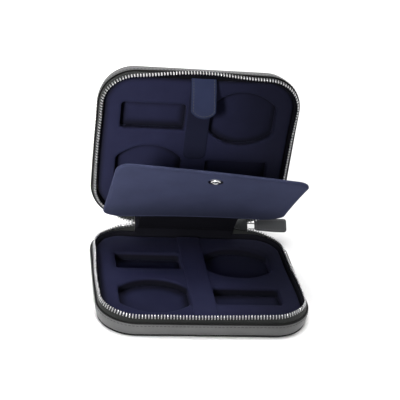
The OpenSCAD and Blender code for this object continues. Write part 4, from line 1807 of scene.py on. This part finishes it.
@dataclass
class Tongue:
    """The suede tongue that hangs from the lid's front end."""

    w: float = 21.0
    length: float = 34.0
    tip_r: float = 13.0
    layer: float = 1.1
    angle: float = 34.0
    fold_h: float = 4.6
    fold_inset: float = 3.4
    socket_inset: float = 12.0
    curl: float = 0.96
    stitch_inset: float = 1.7
    stitch_pitch: float = 2.6

    def place(self, p: Sequence[float]) -> Vector:
        """Moves a point of the tongue, lying flat in the shut lid, to where it hangs."""
        x, y, z = p
        t = min(1.0, max(0.0, y / self.length))
        z = z - self.curl * math.sin(math.pi * t)
        a = math.radians(self.angle)
        up = y * math.sin(a)
        fold_y = -(SIZES.outer_d / 2 - self.fold_inset)
        shut_y = fold_y + y * math.cos(a) + z * math.sin(a)
        shut_z = SIZES.half_h + self.fold_h - up + z * math.cos(a)
        return Vector((x, SIZES.axis_y + shut_z - SIZES.half_h,
                       SIZES.half_h + SIZES.axis_y - shut_y)) * MM

    def _loop(self, inset: float) -> list[Flat]:
        """The tongue's outline."""
        hw = self.w / 2 - inset
        cy = self.length - self.tip_r
        r = self.tip_r - inset
        half = math.degrees(math.asin(hw / r))
        return [(-hw, inset), (hw, inset)] + arc(0.0, cy, r, 90 - half, 90 + half, 20)

    def layers(self) -> None:
        """The face and the backing."""
        for name, z0, node in (("tongue_suede_face", -self.layer - 0.02, "tongue_face"),
                               ("tongue_suede_back", 0.02, "tongue_backing")):
            slab = Padding(name, self._loop(0.0), [], z0, z0 + self.layer, 0.42, rounds=3,
                           strength=0.5)
            piece = slab.cast(self.place)
            dress(piece, "tongue_suede", "tongue", [node])

    def stitches(self) -> None:
        """A row of stitches inside the tongue's edge."""
        loop = self._loop(self.stitch_inset)
        loop = loop[1:] + loop[:1]
        line: list[Flat] = []
        for one, two in zip(loop, loop[1:]):
            line += straight(*one, *two, 1.0)[:-1]
        line.append(loop[-1])
        face = -self.layer - 0.02
        spots = [self.place((x, y, face)) for x, y in line]
        leans = [(self.place((x, y, face - 1)) - self.place((x, y, face))).normalized()
                 for x, y in line]
        row = PATTERNS.row.lay("tongue_stitches", spots, leans, PATTERNS.stitch,
                               self.stitch_pitch, "black_thread")
        dress(row, "black_thread", "tongue")

    def socket(self) -> None:
        """The snap socket on the tongue's back."""
        def on_back(p: Sequence[float]) -> Vector:
            """Sets a point on the tongue's back."""
            return self.place((p[0], self.length - self.socket_inset + p[1],
                               self.layer + 0.05 + p[2]))

        piece = lathe("tongue_socket", [
            (2.5, 0.1), (3.0, 0.0), (4.5, 0.0), (4.6, 0.2), (4.4, 0.5), (3.8, 0.68),
            (3.1, 0.7), (2.7, 0.55), (2.5, 0.3), (2.5, 0.1)], on_back)
        dress(piece, "bright_nickel", "tongue", ["snap_socket"])

    def anchor(self) -> None:
        """Gives the tongue's sewn flange its dark lining."""
        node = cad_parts["tongue_anchor"]
        node.data.materials.clear()
        node.data.materials.append(PAINTS["black_lining"])

    def build(self) -> None:
        """Builds every piece of the tongue."""
        self.layers()
        self.stitches()
        self.socket()
        self.anchor()


# ---------- the slider and its pull ----------

@dataclass
class SliderAndPull:
    """The zip slider, parked at the spine's right end, with its leather pull."""

    length: float = 16.2
    w: float = 10.6
    nose_w: float = 6.6
    taper_l: float = 9.0
    lift: float = 0.8
    pull_lift: float = 1.4
    plate_t: float = 1.2
    gap: float = 2.4
    bridge_l: float = 3.3
    bridge_w: float = 2.4
    strap_l: float = 4.2
    strap_w: float = 5.6
    bridge_t: float = 0.9
    bridge_rise: float = 2.1
    link_w: float = 6.0
    link_t: float = 0.9
    pull_gap: float = 7.7
    pull_l: float = 29.7
    pull_w: float = 12.4
    pull_t: float = 1.0
    pull_r: float = 2.2
    pull_bow: float = 0.35
    pull_neck: float = 0.84
    seam_inset: float = 1.6
    seam_pitch: float = 2.6

    def __post_init__(self) -> None:
        """Works out the places along the slider."""
        self.nose = SIZES.slider_end - self.length
        self.foot = self.gap / 2 + self.plate_t + 0.05
        self.bridge_end = SIZES.slider_end - 0.2
        self.pivot = self.bridge_end - self.bridge_t - self.link_t
        self.pull_x = SIZES.slider_end + self.pull_gap
        self.pull_z = self.foot + (self.bridge_rise - self.bridge_t) / 2

    def place(self, p: Sequence[float]) -> Vector:
        """Turns a point of the slider, z out of the case, to where it stands."""
        x, y, z = p
        y -= self.lift
        s = math.sqrt(0.5)
        return Vector((x, SIZES.axis_y - s * y + s * z, SIZES.half_h - s * y - s * z)) * MM

    def _bevelled(self, piece: bpy.types.Object, width: float,
                  segments: int = 3) -> bpy.types.Object:
        """Rounds a piece's hard edges."""
        bevel = piece.modifiers.new("bevel", "BEVEL")
        bevel.width = width * MM
        bevel.segments = segments
        bevel.limit_method = "ANGLE"
        bevel.angle_limit = math.radians(35)
        return smooth(settle(piece), 40)

    def body(self) -> None:
        """The slider's two plates, with their flanges, and the post between them."""
        hw, hn, x1 = self.w / 2, self.nose_w / 2, SIZES.slider_end
        plate = ([(self.nose + 0.8, -hn), (self.nose + self.taper_l, -hw)]
                 + arc(x1 - 1.6, -hw + 1.6, 1.6, -90, 0, 5)
                 + arc(x1 - 1.6, hw - 1.6, 1.6, 0, 90, 5)
                 + [(self.nose + self.taper_l, hw), (self.nose + 0.8, hn),
                    (self.nose, hn - 0.9), (self.nose, -hn + 0.9)])
        parts = []
        for side in (-1, 1):
            z0 = side * self.gap / 2 if side > 0 else -self.gap / 2 - self.plate_t
            clay = Clay("slider_plate", self.place).slab(plate, z0, z0 + self.plate_t)
            parts.append(self._bevelled(clay.cast(), 0.4))
            for edge in (-1, 1):
                flange = [(self.nose + 1.0, edge * hn), (self.nose + self.taper_l, edge * hw),
                          (x1 - 1.4, edge * hw), (x1 - 1.4, edge * (hw - 0.9)),
                          (self.nose + self.taper_l, edge * (hw - 0.9)),
                          (self.nose + 1.0, edge * (hn - 0.9))]
                inner = side * (self.gap / 2 - 0.7)
                outer = side * (self.gap / 2 + 0.2)
                rail = Clay("slider_flange", self.place).slab(
                    flange, min(inner, outer), max(inner, outer))
                parts.append(self._bevelled(rail.cast(), 0.2, 2))
        post_x0, post_x1 = x1 - 7.9, x1 - 2.9
        post = [(post_x0, -1.2), (post_x1, -0.8), (post_x1, 0.8), (post_x0, 1.2)]
        parts.append(self._bevelled(Clay("slider_post", self.place).slab(
            post, -self.gap / 2 - 0.2, self.gap / 2 + 0.2).cast(), 0.2, 2))
        joined = self._join("slider_casting", parts)
        dress(joined, "dark_gunmetal", "slider", ["slider_body"])

    def _join(self, name: str, parts: Sequence[bpy.types.Object]) -> bpy.types.Object:
        """Joins pieces of one casting into one object."""
        mesh = bpy.data.meshes.new(name)
        with opened(mesh) as shaped:
            for part in parts:
                shaped.from_mesh(part.data)
        for part in parts:
            bpy.data.objects.remove(part)
        return stand(name, mesh)

    def _arch(self, name: str, x0: float, x1: float, w: float) -> bpy.types.Object:
        """A strap that stands on the slider's back from x0 to x1, w across."""
        t, foot = self.bridge_t, self.foot
        top = foot + self.bridge_rise
        r_out, r_in = 1.3, 0.5
        outer = (arc(x0 + r_out, top - r_out, r_out, 180, 90, 5)
                 + arc(x1 - r_out, top - r_out, r_out, 90, 0, 5))
        inner = (arc(x1 - t - r_in, top - t - r_in, r_in, 0, 90, 4)
                 + arc(x0 + t + r_in, top - t - r_in, r_in, 90, 180, 4))
        loop = [(x0, foot), *outer, (x1, foot), (x1 - t, foot), *inner, (x0 + t, foot)]
        rows = [[(x, y, z) for x, z in loop] for y in (-w / 2, w / 2)]
        piece = Clay(name, self.place).sweep(rows, True, False).cast()
        return self._bevelled(piece, 0.22)

    def bridge(self) -> None:
        """The bright strap on the slider's back and the dark arch that the link hangs in."""
        split = self.bridge_end - self.bridge_l
        strap = self._arch("slider_strap", split - self.strap_l, split - 0.1, self.strap_w)
        dress(strap, "bright_nickel", "slider", ["slider_bridge"])
        arch = self._arch("slider_arch", split, self.bridge_end, self.bridge_w)
        dress(arch, "dark_gunmetal", "slider")

    def link(self) -> None:
        """The ring of wire between the bridge and the leather."""
        end = self.pull_x + 0.5
        r = self.link_t / 2
        middle = (self.pivot + end) / 2
        ring = RoundedBox(end - self.pivot, self.link_w - self.link_t, 1.5, middle, 0.0,
                          step=2.0, corner_steps=6)
        walk = ring.stations()
        profile = oval(0.0, self.pull_z, r, r, 10)
        rows = [[(*s.inwards(inset), z) for inset, z in profile] for s in walk]
        piece = Clay("pull_wire", self.place).sweep(rows, True, True).cast()
        dress(smooth(piece, 60), "dark_gunmetal", "pull", ["pull_link"])

    def _pull_place(self, p: Sequence[float]) -> Vector:
        """Sets a point of the flat pull in place, a little bowed."""
        t = min(1.0, max(0.0, (p[0] - self.pull_x) / self.pull_l))
        lift = self.pull_bow * math.sin(math.pi * t)
        narrow = self.pull_neck + (1 - self.pull_neck) * ease(t / 0.7)
        return self.place((p[0], p[1] * narrow - self.pull_lift, p[2] + lift))

    def pull(self) -> None:
        """The two layers of the leather pull, sewn round their border."""
        box = RoundedBox(self.pull_l, self.pull_w, self.pull_r,
                         self.pull_x + self.pull_l / 2, 0.0, corner_steps=6)
        for name, z0, node in (("pull_front_layer", self.pull_z, "pull_leather_front"),
                               ("pull_back_layer", self.pull_z - self.pull_t,
                                "pull_leather_back")):
            slab = Padding(name, box.outline(), [], z0 + 0.01, z0 + self.pull_t - 0.01, 0.4,
                           rounds=3, strength=0.5)
            piece = slab.cast(self._pull_place)
            dress(piece, "pull_leather", "pull", [node])
        walk = box.stations()
        walk.append(walk[0])
        seam = [s.inwards(self.seam_inset) for s in walk]
        for side, way in (("front", 1), ("back", -1)):
            z = self.pull_z + way * self.pull_t
            spots = [self._pull_place((*spot, z - way * 0.05)) for spot in seam]
            leans = [(self._pull_place((*spot, z + way))
                      - self._pull_place((*spot, z))).normalized() for spot in seam]
            row = PATTERNS.row.lay(f"pull_{side}_stitches", spots, leans, PATTERNS.stitch,
                                   self.seam_pitch, "charcoal_thread")
            dress(row, "charcoal_thread", "pull")

    def build(self) -> None:
        """Builds the slider and its pull."""
        self.body()
        self.bridge()
        self.link()
        self.pull()


# ---------- the studio ----------

@dataclass
class Studio:
    """Floor, light and camera."""

    floor_size: float = 6.0
    azimuth: float = -11.64
    elevation: float = 28.39
    roll: float = 7.5
    distance: float = 0.91496
    shift_right: float = 0.00184
    shift_up: float = 0.05666
    lens: float = 98.43
    world_strength: float = 0.18

    def camera(self) -> None:
        """Sets the camera at the photograph's angle."""
        az, el, roll = (math.radians(v) for v in (self.azimuth, self.elevation, self.roll))
        back = Vector((math.sin(az) * math.cos(el), -math.cos(az) * math.cos(el),
                       math.sin(el)))
        side = Vector((0, 0, 1)).cross(back).normalized()
        top = back.cross(side)
        right = side * math.cos(roll) + top * math.sin(roll)
        up = top * math.cos(roll) - side * math.sin(roll)
        spot = (Vector((0, 0, SIZES.half_h * MM)) + back * self.distance
                + right * self.shift_right + up * self.shift_up)
        data = bpy.data.cameras.new("camera")
        data.sensor_width = 36.0
        data.lens = self.lens
        data.clip_start = 0.01
        camera = stand("camera", data)
        turn = Matrix((right, up, back)).transposed().to_4x4()
        camera.matrix_world = Matrix.Translation(spot) @ turn
        bpy.context.scene.camera = camera

    def floor(self) -> None:
        """A pale floor that keeps the object's shadow, white in the distance."""
        mesh = bpy.data.meshes.new("floor")
        s = self.floor_size
        mesh.from_pydata([(-s, -s, 0), (s, -s, 0), (s, s, 0), (-s, s, 0)], [], [(0, 1, 2, 3)])
        plane = stand("floor", mesh)
        plane.location.z = -0.0002
        swatch = Swatch("floor_paper")
        grain = swatch.cloud(swatch.place(), 40.0, 2.0, 0.5)
        swatch.feed(swatch.shader.inputs["Base Color"], swatch.ramp(grain, (
            (0.3, (0.93, 0.93, 0.93)), (0.7, (0.95, 0.95, 0.95)))))
        swatch.set(Roughness=0.9, Specular_IOR_Level=0.1)
        plane.data.materials.append(swatch.material)

    def world(self) -> None:
        """Soft light from all round, and white where the camera sees past the floor."""
        world = bpy.data.worlds.new("studio")
        bpy.context.scene.world = world
        world.use_nodes = True
        tree = world.node_tree
        tree.nodes.clear()
        output = tree.nodes.new("ShaderNodeOutputWorld")
        mix = tree.nodes.new("ShaderNodeMixShader")
        light = tree.nodes.new("ShaderNodeBackground")
        light.inputs["Color"].default_value = (1.0, 1.0, 1.0, 1.0)
        light.inputs["Strength"].default_value = self.world_strength
        white = tree.nodes.new("ShaderNodeBackground")
        white.inputs["Color"].default_value = (1.0, 1.0, 1.0, 1.0)
        white.inputs["Strength"].default_value = 1.0
        path = tree.nodes.new("ShaderNodeLightPath")
        seen = tree.nodes.new("ShaderNodeMath")
        seen.operation = "MAXIMUM"
        tree.links.new(path.outputs["Is Camera Ray"], seen.inputs[0])
        tree.links.new(path.outputs["Is Glossy Ray"], seen.inputs[1])
        tree.links.new(seen.outputs["Value"], mix.inputs["Fac"])
        tree.links.new(light.outputs["Background"], mix.inputs[1])
        tree.links.new(white.outputs["Background"], mix.inputs[2])
        tree.links.new(mix.outputs["Shader"], output.inputs["Surface"])

    def lamp(self, name: str, spot: Point, target: Point, size: float,
             watts: float, spread: float) -> None:
        """Adds one soft square lamp.

        Args:
            name: the lamp's name.
            spot: where it hangs, in metres.
            target: what it points at.
            size: the length of its side.
            watts: its power.
            spread: how wide it shines, in degrees.
        """
        data = bpy.data.lights.new(name, "AREA")
        data.spread = math.radians(spread)
        data.shape = "SQUARE"
        data.size = size
        data.energy = watts
        lamp = stand(name, data)
        lamp.location = spot
        way = Vector(target) - Vector(spot)
        lamp.rotation_euler = way.to_track_quat("-Z", "Y").to_euler()

    def build(self) -> None:
        """Sets up the studio."""
        self.camera()
        self.floor()
        self.world()
        self.lamp("top_lamp", (-0.1, 0.1, 2.2), (0, 0, 0.05), 1.4, 60.0, 180.0)
        self.lamp("front_lamp", (-0.9, -1.5, 0.70), (-0.28, 0, 0.10), 0.4, 1.6, 22.0)
        bpy.context.scene.view_settings.view_transform = "Standard"


# ---------- the whole case ----------

def dress_hidden_nodes() -> None:
    """Gives the nodes that stay as they are their finish."""
    for half in Half:
        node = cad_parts[f"{half.value}_board_tray"]
        node.data.materials.clear()
        node.data.materials.append(PAINTS["brown_board"])


def main() -> None:
    """Builds the studio and every piece, in order."""
    logging.basicConfig(level=logging.INFO, format="%(message)s")
    Studio().build()
    for half in Half:
        Shell(half).build()
        Lining(half).build()
        InsertPad(half).build()
        ZipRow(half).build()
    Spine().build()
    Divider().build()
    Tongue().build()
    SliderAndPull().build()
    dress_hidden_nodes()


if __name__ == "__main__":
    main()
